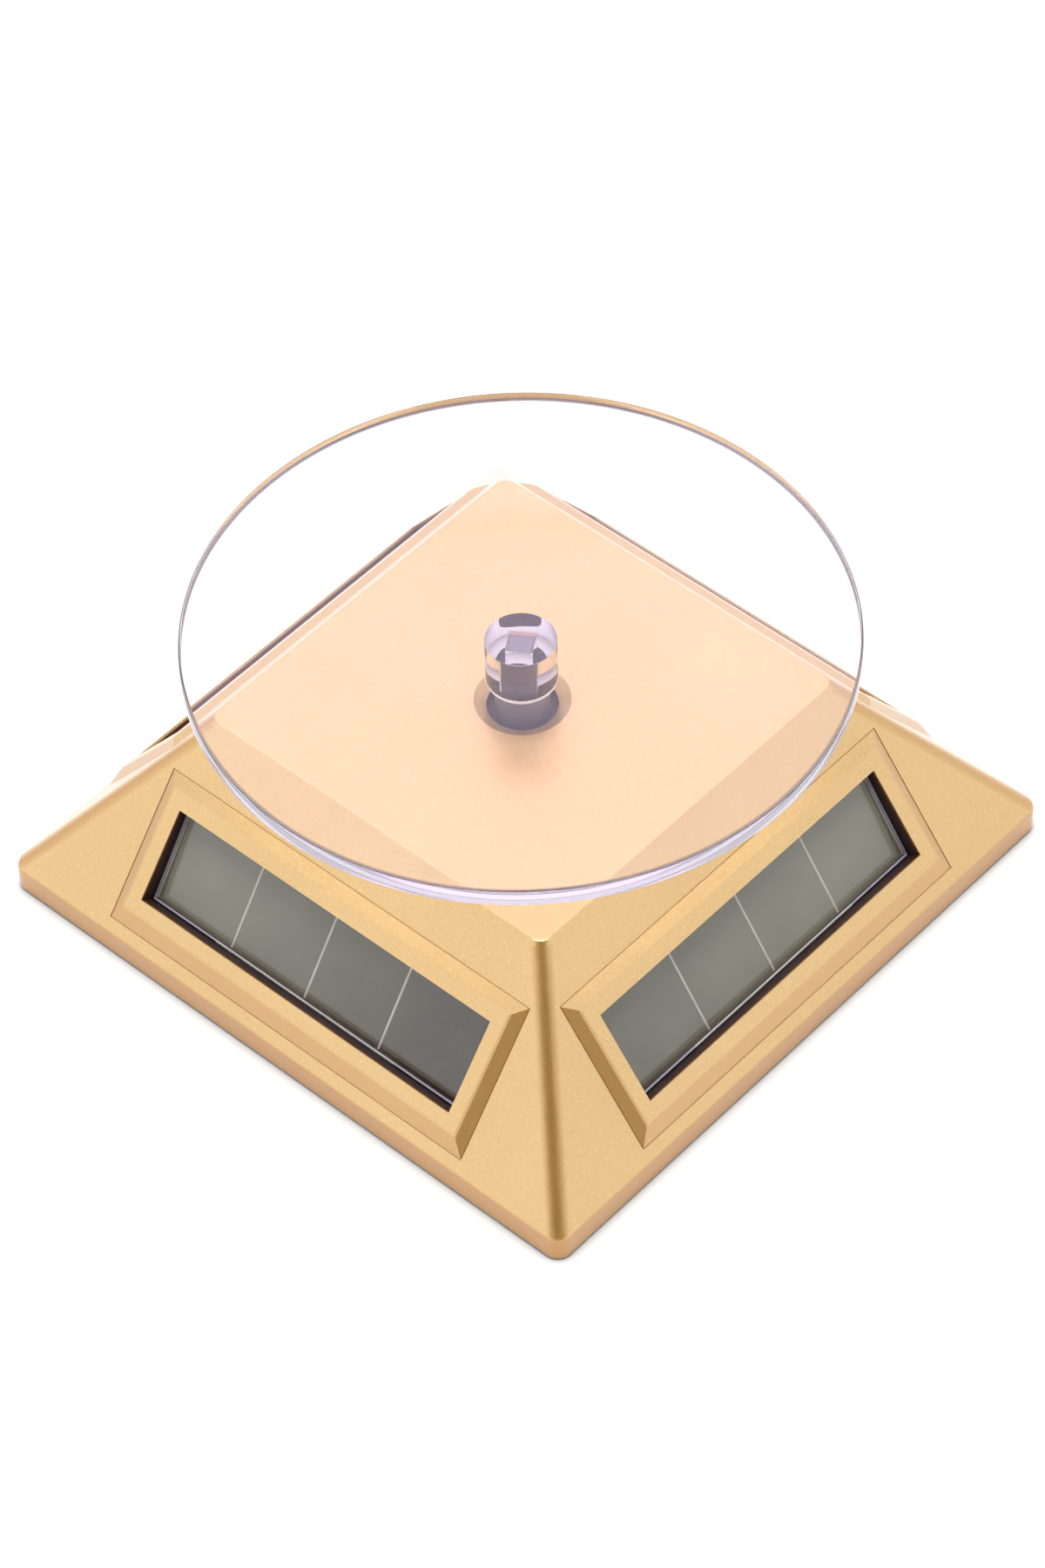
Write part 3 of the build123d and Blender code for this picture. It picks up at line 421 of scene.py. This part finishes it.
# ---- solar panels ----
# Each window holds a pane of thin-film solar glass, pushed in from behind and tilted a little.
# Four cells lie on the glass's back, parted by fine bare lines, with a bus bar at one end.
WINDOW_MIDDLE = 14.5
PANE_DEPTH = -1.1
PANE_TILT = math.radians(3.2)
PANE_HALF = (29.1, 7.05)
PANE_THICK = 1.1
BACKING_THICK = 1.7
GLUE_LINE = 0.02
ARRIS = 0.07
PANE_CORNER = 0.15
CELL_ENDS = [(0.1, 0.4), (0.45, 14.45), (14.8, 28.45), (28.8, 42.45), (42.8, 57.95)]
CELL_EDGE = 0.28
CELL_RISE = 0.03
BACKING_ARRIS = 0.03
LINES_INSET, LINES_EDGE = 1.0, 0.05
FILM_CORNER, FILM_ARRIS = 0.05, 0.005
SIDE_TURNS = {"front": 0, "right": 90, "back": 180, "left": 270}
BUS_BAR_AT = {"front": -1, "right": 1, "back": 1, "left": -1}
# The film browns along the pane: the share of brown at the bus bar and at the far end.
FILM_DRIFT = {"front": (0.15, 1.1), "right": (0.0, 0.5), "back": (0.2, 0.6), "left": (0.1, 0.4)}
DRIFT_FROM, DRIFT_REACH, DRIFT_CURVE = 0.1, 0.85, 1.3


def soft_rectangle(half_x, half_y, corner, inset, steps=4):
    """An outline of a rectangle with round corners, moved in by inset: a quarter circle of the
    corner's radius less the inset about each corner's centre, steps to the quarter."""
    quarter = np.linspace(0.0, np.pi / 2, steps + 1)
    angles = np.concatenate([quarter + start for start in np.pi / 2 * np.arange(4)])
    centres_x = np.repeat([1, -1, -1, 1], steps + 1) * (half_x - corner)
    centres_y = np.repeat([1, 1, -1, -1], steps + 1) * (half_y - corner)
    radius = max(corner - inset, 0.0)
    slack = min(corner - inset, 0.0)
    x = centres_x + np.sign(centres_x) * slack + radius * np.cos(angles)
    y = centres_y + np.sign(centres_y) * slack + radius * np.sin(angles)
    return np.stack([x, y], axis=1)


def stacked(loops):
    """Points and faces of a solid whose skin is a stack of closed loops, lowest first, each
    joined to the next by quads, with a flat face over both ends. Loops run anticlockwise seen
    from above. Also says which faces are the quads."""
    rows, count = loops.shape[:2]
    start = np.arange(rows - 1)[:, None] * count
    here = np.arange(count)[None, :]
    beyond = (here + 1) % count
    quads = np.stack([start + here, start + beyond, start + count + beyond, start + count + here], -1)
    faces = quads.reshape(-1, 4).tolist()
    bottom = np.arange(count)[::-1].tolist()
    top = ((rows - 1) * count + np.arange(count)).tolist()
    return loops.reshape(-1, 3), faces + [bottom, top], [True] * len(faces) + [False, False]


def plate(half_x, half_y, corner, low, high, arris, middle_x=0.0):
    """Stacked loops of a flat plate from low to high with its arrises taken off: four copies of
    its outline, the outer two drawn in by the arris."""
    levels = [(arris, low), (0.0, low + arris), (0.0, high - arris), (arris, high)]
    loops = []
    for inset, height in levels:
        outline = soft_rectangle(half_x, half_y, corner, inset)
        loops.append(np.column_stack([outline + [middle_x, 0.0], np.full(len(outline), height)]))
    return stacked(np.array(loops))


def on_window(points, side):
    """Carries points from the pane's own plane, millimetres with x along the window, y up the
    slope and z out of it, to that side of the stand: tilted about x, laid on the slope, turned
    round Z."""
    x, y, z = np.asarray(points).T
    tilted_y = y * math.cos(PANE_TILT) - z * math.sin(PANE_TILT)
    tilted_z = y * math.sin(PANE_TILT) + z * math.cos(PANE_TILT)
    y, z = tilted_y + WINDOW_MIDDLE, tilted_z + PANE_DEPTH
    level = -BASE_HALF + y * math.cos(SLOPE) - z * math.sin(SLOPE)
    height = BAND_TOP + y * math.sin(SLOPE) + z * math.cos(SLOPE)
    turn = math.radians(SIDE_TURNS[side])
    turned_x = x * math.cos(turn) - level * math.sin(turn)
    turned_y = x * math.sin(turn) + level * math.cos(turn)
    return np.stack([turned_x, turned_y, height], axis=1) * MM


def way_out(tree):
    """The sockets of a material's output node."""
    return next(node for node in tree.nodes if node.type == "OUTPUT_MATERIAL").inputs


def add_clear_rays(tree, shader, tint):
    """Lets light from lamps and off dull surfaces straight through a clear piece."""
    rays = put(tree, "ShaderNodeLightPath").outputs
    through = calc(tree, "MAXIMUM", rays["Is Shadow Ray"], rays["Is Diffuse Ray"])
    plain = put(tree, "ShaderNodeBsdfTransparent", {"Color": tint}).outputs[0]
    mix = put(tree, "ShaderNodeMixShader", {0: through, 1: shader.outputs[0], 2: plain})
    tree.links.new(mix.outputs[0], way_out(tree)["Surface"])


window_glass, tree, shader = new_finish("window_glass", IOR=1.5)
shader.inputs["Transmission Weight"].default_value = 1.0
point = in_millimetres(tree)
marks = use_effect(tree, handling, Amount=0.015)
settled = use_effect(tree, dust, Amount=0.003)["Dust"]
glass_tone = mixed(tree, noise(tree, point, 0.03), (0.93, 0.95, 0.93, 1.0), (0.97, 0.96, 0.95, 1.0))
feed(tree, shader, "Base Color", mixed(tree, settled, glass_tone, (0.8, 0.79, 0.76, 1.0)))
dull = calc(tree, "ADD", calc(tree, "MULTIPLY", marks["Smudge"], 0.03), settled)
feed(tree, shader, "Roughness", calc(tree, "ADD", calc(tree, "ADD", dull, 0.01), marks["Hairlines"]))
add_clear_rays(tree, shader, (0.96, 0.97, 0.96, 1.0))

# The pane's edges are ground, so they are pale and dull; the lavender tint in their colour is a painted
# reflection of lavender light.
ground_edge, tree, shader = new_finish("ground_edge")
point = in_millimetres(tree)
chips = noise(tree, point, 2.2, 4.0, 0.7)
feed(tree, shader, "Base Color", mixed(tree, chips, paint_chart(150, 140, 158), paint_chart(186, 178, 192)))
feed(tree, shader, "Roughness", calc(tree, "ADD", calc(tree, "MULTIPLY", chips, 0.2), 0.45))
bumped(tree, shader, chips, 0.03)

CELL_GREY = paint_chart(116, 115, 98)
CELL_BROWN = paint_chart(46, 30, 18)
solar_film, tree, shader = new_finish("solar_film", IOR=1.45)
point = in_millimetres(tree)
drift = put(tree, "ShaderNodeAttribute", attribute_name="film_drift").outputs["Fac"]
clouds = noise(tree, point, 0.09, 2.0)
share = calc(tree, "ADD", drift, calc(tree, "MULTIPLY", calc(tree, "SUBTRACT", clouds, 0.5), 0.5))
film_colour = mixed(tree, share, CELL_GREY, CELL_BROWN)
specks = calc(tree, "MULTIPLY", noise(tree, point, 4.0, 2.0), 0.06)
feed(tree, shader, "Base Color", mixed(tree, specks, film_colour, (0.02, 0.02, 0.02, 1.0)))
feed(tree, shader, "Roughness", calc(tree, "ADD", calc(tree, "MULTIPLY", clouds, 0.06), 0.12))

panel_lines, tree, shader = new_finish("panel_lines", Metallic=0.3)
point = in_millimetres(tree)
oxide = noise(tree, point, 1.1, 3.0)
feed(tree, shader, "Base Color", mixed(tree, oxide, paint_chart(205, 198, 186), paint_chart(168, 160, 150)))
feed(tree, shader, "Roughness", calc(tree, "ADD", calc(tree, "MULTIPLY", oxide, 0.2), 0.35))

panel_backing, tree, shader = new_finish("panel_backing")
point = in_millimetres(tree)
grain = use_effect(tree, mould_grain, **{"Per mm": 1.5})
backing_colour = mixed(tree, grain["Height"], paint_chart(38, 30, 34), paint_chart(58, 48, 52))
feed(tree, shader, "Base Color", backing_colour)
feed(tree, shader, "Roughness", calc(tree, "ADD", calc(tree, "MULTIPLY", grain["Tone"], 0.2), 0.4))


def joined(solids):
    """Several solids as one mesh: their points in a row, faces counted on, and for each face
    which solid it came from."""
    points, faces, smooth, origin = [], [], [], []
    counted = 0
    for index, (solid_points, solid_faces, solid_smooth) in enumerate(solids):
        points.append(solid_points)
        faces += [[corner + counted for corner in face] for face in solid_faces]
        smooth += solid_smooth
        origin += [index] * len(solid_faces)
        counted += len(solid_points)
    return np.concatenate(points), faces, smooth, origin


half_x, half_y = PANE_HALF
for side in SIDE_TURNS:
    points, faces, smooth = plate(half_x, half_y, PANE_CORNER, -PANE_THICK, 0.0, ARRIS)
    glass = mesh_piece(f"window_glass_{side}", on_window(points, side), faces, [False] * len(faces))
    glass.data.materials.append(window_glass)
    glass.data.materials.append(ground_edge)
    glass.data.polygons.foreach_set("material_index", [1] * (len(faces) - 2) + [0, 0])

    way = BUS_BAR_AT[side]
    film_top = -PANE_THICK - GLUE_LINE
    cell_half_y = half_y - CELL_EDGE
    solids = [
        plate(half_x, half_y, PANE_CORNER, -BACKING_THICK, film_top - CELL_RISE, BACKING_ARRIS),
        plate(
            half_x - LINES_INSET, cell_half_y - LINES_EDGE, FILM_CORNER,
            film_top - 1.6 * CELL_RISE, film_top - 0.5 * CELL_RISE, FILM_ARRIS,
        ),
    ]
    film_low = film_top - 0.8 * CELL_RISE
    for near, far in CELL_ENDS:
        middle = way * (half_x - (near + far) / 2)
        cell = plate((far - near) / 2, cell_half_y, FILM_CORNER, film_low, film_top, FILM_ARRIS, middle)
        solids.append(cell)
    points, faces, smooth, origin = joined(solids)
    cells = mesh_piece(f"solar_cells_{side}", on_window(points, side), faces, [False] * len(faces))
    for finish in (panel_backing, panel_lines, solar_film):
        cells.data.materials.append(finish)
    slots = np.choose(np.minimum(origin, 3), [0, 1, 1, 2])
    cells.data.polygons.foreach_set("material_index", slots.astype(np.int32))
    along = 0.5 - way * points[:, 0] / (2 * half_x)
    first, last = FILM_DRIFT[side]
    drift = first + (last - first) * np.clip((along - DRIFT_FROM) / DRIFT_REACH, 0.0, 1.0) ** DRIFT_CURVE
    cells.data.attributes.new("film_drift", "FLOAT", "POINT").data.foreach_set("value", drift)
    for piece in (glass, cells):
        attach(piece, "base")
        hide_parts(f"solar_panel_{side}")

# Hot-melt adhesive: cloudy beads squeezed along the back of each pane, with soft lumps.
hot_melt, tree, shader = new_finish("hot_melt", Subsurface_Weight=0.2)
point = in_millimetres(tree)
lumps = noise(tree, point, 0.5, 3.0)
feed(tree, shader, "Base Color", mixed(tree, lumps, paint_chart(226, 216, 188), paint_chart(240, 235, 220)))
feed(tree, shader, "Roughness", calc(tree, "ADD", calc(tree, "MULTIPLY", lumps, 0.2), 0.3))
bumped(tree, shader, lumps, 0.3)
give_finish(hot_melt, "panel_adhesive")

# ---- gear frame ----
# Two moulded ABS plates carry the train. The lower one has the pillars and ears, and four
# screws through the upper one close it; three more hold its ears to the housing's bosses.


def moulded(name, dark, light, rough, per_mm, depth, rubbed=0.07, dusty=0.2):
    """A moulded plastic between two shades, given as 0 to 255, by the mould's slow tone: rubbed
    in places, a little dusty on top, with a fine eroded grain."""
    material, tree, shader = new_finish(name)
    dark, light = paint_chart(*dark), paint_chart(*light)
    scored = (*[0.75 * shade + 0.25 for shade in light[:3]], 1.0)
    grain = use_effect(tree, mould_grain, **{"Per mm": per_mm})
    marks = use_effect(tree, handling, Amount=rubbed)
    settled = use_effect(tree, dust, Amount=dusty)["Dust"]
    colour = mixed(tree, grain["Tone"], dark, light)
    colour = mixed(tree, marks["Hairlines"], colour, scored)
    feed(tree, shader, "Base Color", mixed(tree, settled, colour, paint_chart(176, 172, 166)))
    gloss = calc(tree, "MULTIPLY", marks["Smudge"], -0.15)
    gloss = calc(tree, "ADD", gloss, calc(tree, "MULTIPLY", grain["Height"], 0.12))
    feed(tree, shader, "Roughness", calc(tree, "ADD", gloss, rough))
    bumped(tree, shader, grain["Height"], depth)
    return material


frame_plastic = moulded("frame_plastic", (44, 44, 47), (58, 58, 62), 0.45, 3.0, 0.01)
give_finish(frame_plastic, "gear_frame_lower", "gear_frame_upper")


def rolled(name, dark, light, rough, stretch, depth):
    """A bright metal between two shades, given as 0 to 255, with drawn or turned lines: noise
    stretched along one axis shades it, varies its gloss and scores it."""
    material, tree, shader = new_finish(name, Metallic=1.0)
    point = in_millimetres(tree)
    drawn_out = put(tree, "ShaderNodeMapping", {"Vector": point, "Scale": stretch}).outputs[0]
    lines = noise(tree, drawn_out, 1.0, 3.0, 0.6)
    patches = noise(tree, point, 0.25, 3.0)
    share = calc(tree, "MULTIPLY", calc(tree, "ADD", lines, patches), 0.5)
    feed(tree, shader, "Base Color", mixed(tree, share, paint_chart(*dark), paint_chart(*light)))
    marks = use_effect(tree, handling, Amount=0.4)
    gloss = calc(tree, "ADD", calc(tree, "MULTIPLY", lines, 0.2), rough)
    feed(tree, shader, "Roughness", calc(tree, "ADD", gloss, calc(tree, "MULTIPLY", marks["Smudge"], 0.2)))
    bumped(tree, shader, lines, depth)
    return material


screw_steel = rolled("screw_steel", (120, 118, 116), (205, 203, 200), 0.22, (3, 3, 12), 0.008)
give_finish(screw_steel, "frame_screws", "mounting_screws", "motor_screws", "cover_screws", "gear_pins")

# ---- motor ----
# A flat three-pole motor in a drawn, zinc-plated can, closed by a black cap with the brushes.
# The rotor is a stack of steel sheets wound with enamelled wire, on a ground steel shaft.
zinc_plate = rolled("zinc_plate", (150, 150, 146), (214, 213, 206), 0.3, (1, 1, 6), 0.006)
give_finish(zinc_plate, "motor_can")
cap_black = moulded("cap_black", (20, 20, 21), (32, 32, 34), 0.4, 3.0, 0.008)
give_finish(cap_black, "motor_end_cap")
ground_steel = rolled("ground_steel", (165, 165, 168), (225, 225, 228), 0.15, (1, 1, 15), 0.003)
give_finish(ground_steel, "motor_shaft")
spring_bronze = rolled("spring_bronze", (150, 88, 48), (220, 150, 92), 0.25, (8, 1, 1), 0.006)
give_finish(spring_bronze, "motor_terminals", "motor_brushes", "motor_bushes")
commutator_copper = rolled("commutator_copper", (130, 66, 38), (214, 128, 84), 0.2, (1, 1, 9), 0.008)
give_finish(commutator_copper, "commutator")

ferrite, tree, shader = new_finish("ferrite_magnet")
grain = use_effect(tree, mould_grain, **{"Per mm": 5.0})
pores = step_up(tree, noise(tree, in_millimetres(tree), 1.8, 3.0), 0.62, 0.7)
ferrite_colour = mixed(tree, grain["Height"], paint_chart(46, 45, 47), paint_chart(78, 76, 78))
feed(tree, shader, "Base Color", mixed(tree, pores, ferrite_colour, paint_chart(24, 23, 24)))
feed(tree, shader, "Roughness", calc(tree, "ADD", calc(tree, "MULTIPLY", grain["Height"], 0.3), 0.5))
bumped(tree, shader, calc(tree, "SUBTRACT", grain["Height"], pores), 0.03)
give_finish(ferrite, "motor_magnets")

LAMINATION = 0.5
lamination_steel, tree, shader = new_finish("lamination_steel", Metallic=1.0)
point = in_millimetres(tree)
height = put(tree, "ShaderNodeSeparateXYZ", {0: point}).outputs["Z"]
layer = calc(tree, "FRACT", calc(tree, "DIVIDE", height, LAMINATION))
seam = calc(tree, "LESS_THAN", layer, 0.14)
blue = mixed(tree, noise(tree, point, 0.4, 2.0), paint_chart(120, 124, 132), paint_chart(158, 152, 146))
feed(tree, shader, "Base Color", mixed(tree, seam, blue, paint_chart(40, 38, 38)))
feed(tree, shader, "Roughness", calc(tree, "ADD", calc(tree, "MULTIPLY", seam, 0.4), 0.35))
bumped(tree, shader, calc(tree, "SUBTRACT", 1.0, seam), 0.04)
give_finish(lamination_steel, "rotor_core")

WIRE = 0.16
enamelled_wire, tree, shader = new_finish("enamelled_wire", Metallic=0.8, Coat_Weight=0.6)
point = in_millimetres(tree)
wander = noise(tree, point, 0.5, 2.0)
height = put(tree, "ShaderNodeSeparateXYZ", {0: point}).outputs["Z"]
phase = calc(tree, "ADD", calc(tree, "DIVIDE", height, WIRE), wander)
turn_height = calc(tree, "ABSOLUTE", calc(tree, "SINE", calc(tree, "MULTIPLY", phase, math.pi)))
# The copper is painted darker between the turns and lighter on their crests: painted shade and highlight of
# the round wire.
copper = mixed(tree, turn_height, paint_chart(92, 34, 14), paint_chart(206, 104, 52))
feed(tree, shader, "Base Color", copper)
feed(tree, shader, "Roughness", calc(tree, "SUBTRACT", 0.5, calc(tree, "MULTIPLY", turn_height, 0.25)))
bumped(tree, shader, turn_height, 0.08)
give_finish(enamelled_wire, "rotor_windings")

# ---- gear train ----
# Wheels and pinions are moulded in natural white acetal, waxy and slightly see-through.
# They run on steel pins, and the last one is pressed on the output shaft.
acetal = moulded("white_acetal", (222, 221, 212), (238, 237, 231), 0.28, 1.5, 0.006, rubbed=0.2)
acetal.node_tree.nodes["Principled BSDF"].inputs["Subsurface Weight"].default_value = 0.15
give_finish(acetal, "motor_pinion", "first_gear", "second_gear", "third_gear", "output_gear")

# ---- output shaft ----
# A dark blue-grey acetal shaft with a square drive on top: it comes up through the hole in the
# housing, and the clear post drops over the square.
shaft_plastic = moulded("shaft_acetal", (86, 86, 100), (104, 104, 120), 0.3, 2.0, 0.005, rubbed=0.2, dusty=0.1)
give_finish(shaft_plastic, "output_shaft")

# ---- electronics ----
# A small green board with a storage capacitor in a shrunk sleeve and one glass diode lets
# the panels run the motor directly and the battery take over in the dark.
solder_mask, tree, shader = new_finish("solder_mask", Coat_Weight=0.3)
point = in_millimetres(tree)
weave = put(tree, "ShaderNodeTexChecker", {"Vector": point, "Scale": 2.5}).outputs["Fac"]
tracks = step_up(tree, noise(tree, point, 0.3, 0.0), 0.49, 0.51)
weave_share = calc(tree, "MULTIPLY", weave, 0.2)
mask_green = mixed(tree, weave_share, paint_chart(24, 98, 56), paint_chart(34, 120, 70))
feed(tree, shader, "Base Color", mixed(tree, tracks, mask_green, paint_chart(44, 134, 74)))
feed(tree, shader, "Roughness", calc(tree, "ADD", calc(tree, "MULTIPLY", weave, 0.08), 0.3))
bumped(tree, shader, tracks, 0.03)
give_finish(solder_mask, "circuit_board")

sleeve = moulded("shrink_sleeve", (28, 34, 60), (38, 46, 78), 0.25, 0.8, 0.02, rubbed=0.2)
give_finish(sleeve, "capacitor")
diode_body = moulded("diode_body", (26, 25, 26), (40, 39, 40), 0.35, 4.0, 0.006)
give_finish(diode_body, "diode")

# ---- bottom cover, battery door and feet ----
# The cover is a black ABS moulding screwed on from below. Its door slides off the bay for one
# AA cell, and four soft rubber feet are pressed on near its corners.
cover_black = moulded("cover_black", (27, 27, 28), (37, 37, 39), 0.5, 3.2, 0.02, rubbed=0.6, dusty=0.1)
give_finish(cover_black, "bottom_cover", "battery_door")
foot_rubber = moulded("foot_rubber", (32, 31, 31), (46, 45, 44), 0.75, 1.6, 0.03, rubbed=0.2, dusty=0.5)
give_finish(foot_rubber, "feet")
nickel = rolled("nickel_spring", (150, 149, 144), (228, 226, 220), 0.18, (1, 1, 8), 0.004)
give_finish(nickel, "battery_contact_spring", "battery_contact_plate")

# ---- turntable: clear disc and centre post ----
# The disc is turned from 3 mm clear acrylic with a polished rim. A clear post is bonded under
# its middle, with a blind square socket that drops over the shaft's drive. The post's lower face,
# its round arris and a narrow band above it are sawn and left frosted.
DISC_RADIUS, DISC_TOP, DISC_THICK = 47.4, 46.9, 3.0
DISC_ARRIS = 0.4
POST_RADIUS, POST_LOW, POST_ARRIS = 5.1, 35.6, 0.9
SOCKET_SIDE, SOCKET_TOP, SOCKET_TURN = 3.9, 42.9, math.radians(33.0)
SOCKET_REACH = 1.36       # from the axis to a corner, in half sides
HEAD_ARRIS = 0.12
BOND_LINE = 0.01
ROUND_STEPS = 288
# The acrylic's lavender absorption colour below is a painted reflection of lavender light, seen most along the
# rim.
ACRYLIC_PAINTED_LAVENDER = (0.62, 0.59, 0.69, 1.0)
ACRYLIC_DENSITY = 12.5
ARRIS_STEPS = 6
SAWN_BAND = 0.25


def rounded_rim(radius, height, arris, at_foot):
    """Radii and heights of a quarter round between a flat and a wall, at the wall's foot or at
    its head: a point that goes round a centre one arris in from both."""
    first = -np.pi / 2 if at_foot else 0.0
    angles = np.linspace(first, first + np.pi / 2, ARRIS_STEPS + 1)
    centre_height = height + arris if at_foot else height - arris
    return radius - arris + arris * np.cos(angles), centre_height + arris * np.sin(angles)


def carried_round(radii, heights):
    """Loops about Z: each row's radius, one number or one for every angle, at its height."""
    angles = np.arange(ROUND_STEPS) * 2 * np.pi / ROUND_STEPS
    radii = np.array([np.broadcast_to(radius, ROUND_STEPS) for radius in radii])
    heights = np.broadcast_to(np.asarray(heights)[:, None], radii.shape)
    return np.stack([radii * np.cos(angles), radii * np.sin(angles), heights], -1) * MM


foot_radii, foot_heights = rounded_rim(DISC_RADIUS, DISC_TOP - DISC_THICK, DISC_ARRIS, at_foot=True)
head_radii, head_heights = rounded_rim(DISC_RADIUS, DISC_TOP, DISC_ARRIS, at_foot=False)
disc_loops = carried_round([*foot_radii, *head_radii], [*foot_heights, *head_heights])
disc = mesh_piece("clear_disc", *stacked(disc_loops))

square_angles = np.arange(ROUND_STEPS) * 2 * np.pi / ROUND_STEPS - SOCKET_TURN
square_radii = SOCKET_SIDE / 2 / np.maximum(np.abs(np.cos(square_angles)), np.abs(np.sin(square_angles)))
square_radii = np.minimum(square_radii, SOCKET_SIDE / 2 * SOCKET_REACH)
post_radii, post_heights = rounded_rim(POST_RADIUS, POST_LOW, POST_ARRIS, at_foot=True)
post_head = DISC_TOP - DISC_THICK - BOND_LINE
head_radii, head_heights = rounded_rim(POST_RADIUS, post_head, HEAD_ARRIS, at_foot=False)
post_loops = carried_round(
    [square_radii, square_radii, *post_radii, POST_RADIUS, *head_radii],
    [SOCKET_TOP, POST_LOW, *post_heights, POST_LOW + POST_ARRIS + SAWN_BAND, *head_heights],
)
post_points, post_faces, post_smooth = stacked(post_loops)
post_smooth[:2 * ROUND_STEPS] = [False] * (2 * ROUND_STEPS)
post = mesh_piece("clear_post", post_points, post_faces, post_smooth)

acrylic, tree, shader = new_finish("clear_acrylic", IOR=1.49)
shader.inputs["Transmission Weight"].default_value = 1.0
point = in_millimetres(tree)
marks = use_effect(tree, handling, Amount=0.4)
settled = use_effect(tree, dust, Amount=0.06)["Dust"]
# The lavender in the acrylic's colour, in the tint of its clear rays and in its absorption is a painted
# reflection of lavender light, which shows most along the rim.
cast = mixed(tree, noise(tree, point, 0.02), (0.99, 0.97, 0.985, 1.0), (0.995, 0.98, 1.0, 1.0))
feed(tree, shader, "Base Color", mixed(tree, settled, cast, (0.85, 0.85, 0.85, 1.0)))
smears = calc(tree, "MULTIPLY", marks["Smudge"], 0.02)
scratches = calc(tree, "MULTIPLY", marks["Hairlines"], 0.1)
haze = calc(tree, "ADD", smears, scratches)
feed(tree, shader, "Roughness", calc(tree, "ADD", haze, 0.004))
add_clear_rays(tree, shader, (0.97, 0.95, 0.97, 1.0))
sunk = put(tree, "ShaderNodeVolumeAbsorption", {"Color": ACRYLIC_PAINTED_LAVENDER, "Density": ACRYLIC_DENSITY})
tree.links.new(sunk.outputs[0], way_out(tree)["Volume"])

sawn_acrylic, tree, shader = new_finish("sawn_acrylic", IOR=1.1)
shader.inputs["Transmission Weight"].default_value = 0.15
saw_lines = noise(tree, in_millimetres(tree), 1.5, 3.0, 0.6)
feed(tree, shader, "Base Color", mixed(tree, saw_lines, (0.93, 0.90, 0.94, 1.0), (1.0, 0.98, 1.0, 1.0)))
feed(tree, shader, "Roughness", calc(tree, "ADD", calc(tree, "MULTIPLY", saw_lines, 0.2), 0.3))
bumped(tree, shader, saw_lines, 0.02)
post.data.materials.append(acrylic)
post.data.materials.append(sawn_acrylic)
sawn_rows = range(ROUND_STEPS, (3 + ARRIS_STEPS) * ROUND_STEPS)
slots = [int(face in sawn_rows) for face in range(len(post_faces))]
post.data.polygons.foreach_set("material_index", slots)
disc.data.materials.append(acrylic)
for piece, node in ((disc, "turntable_disc"), (post, "centre_post")):
    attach(piece, "turntable")
    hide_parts(node)
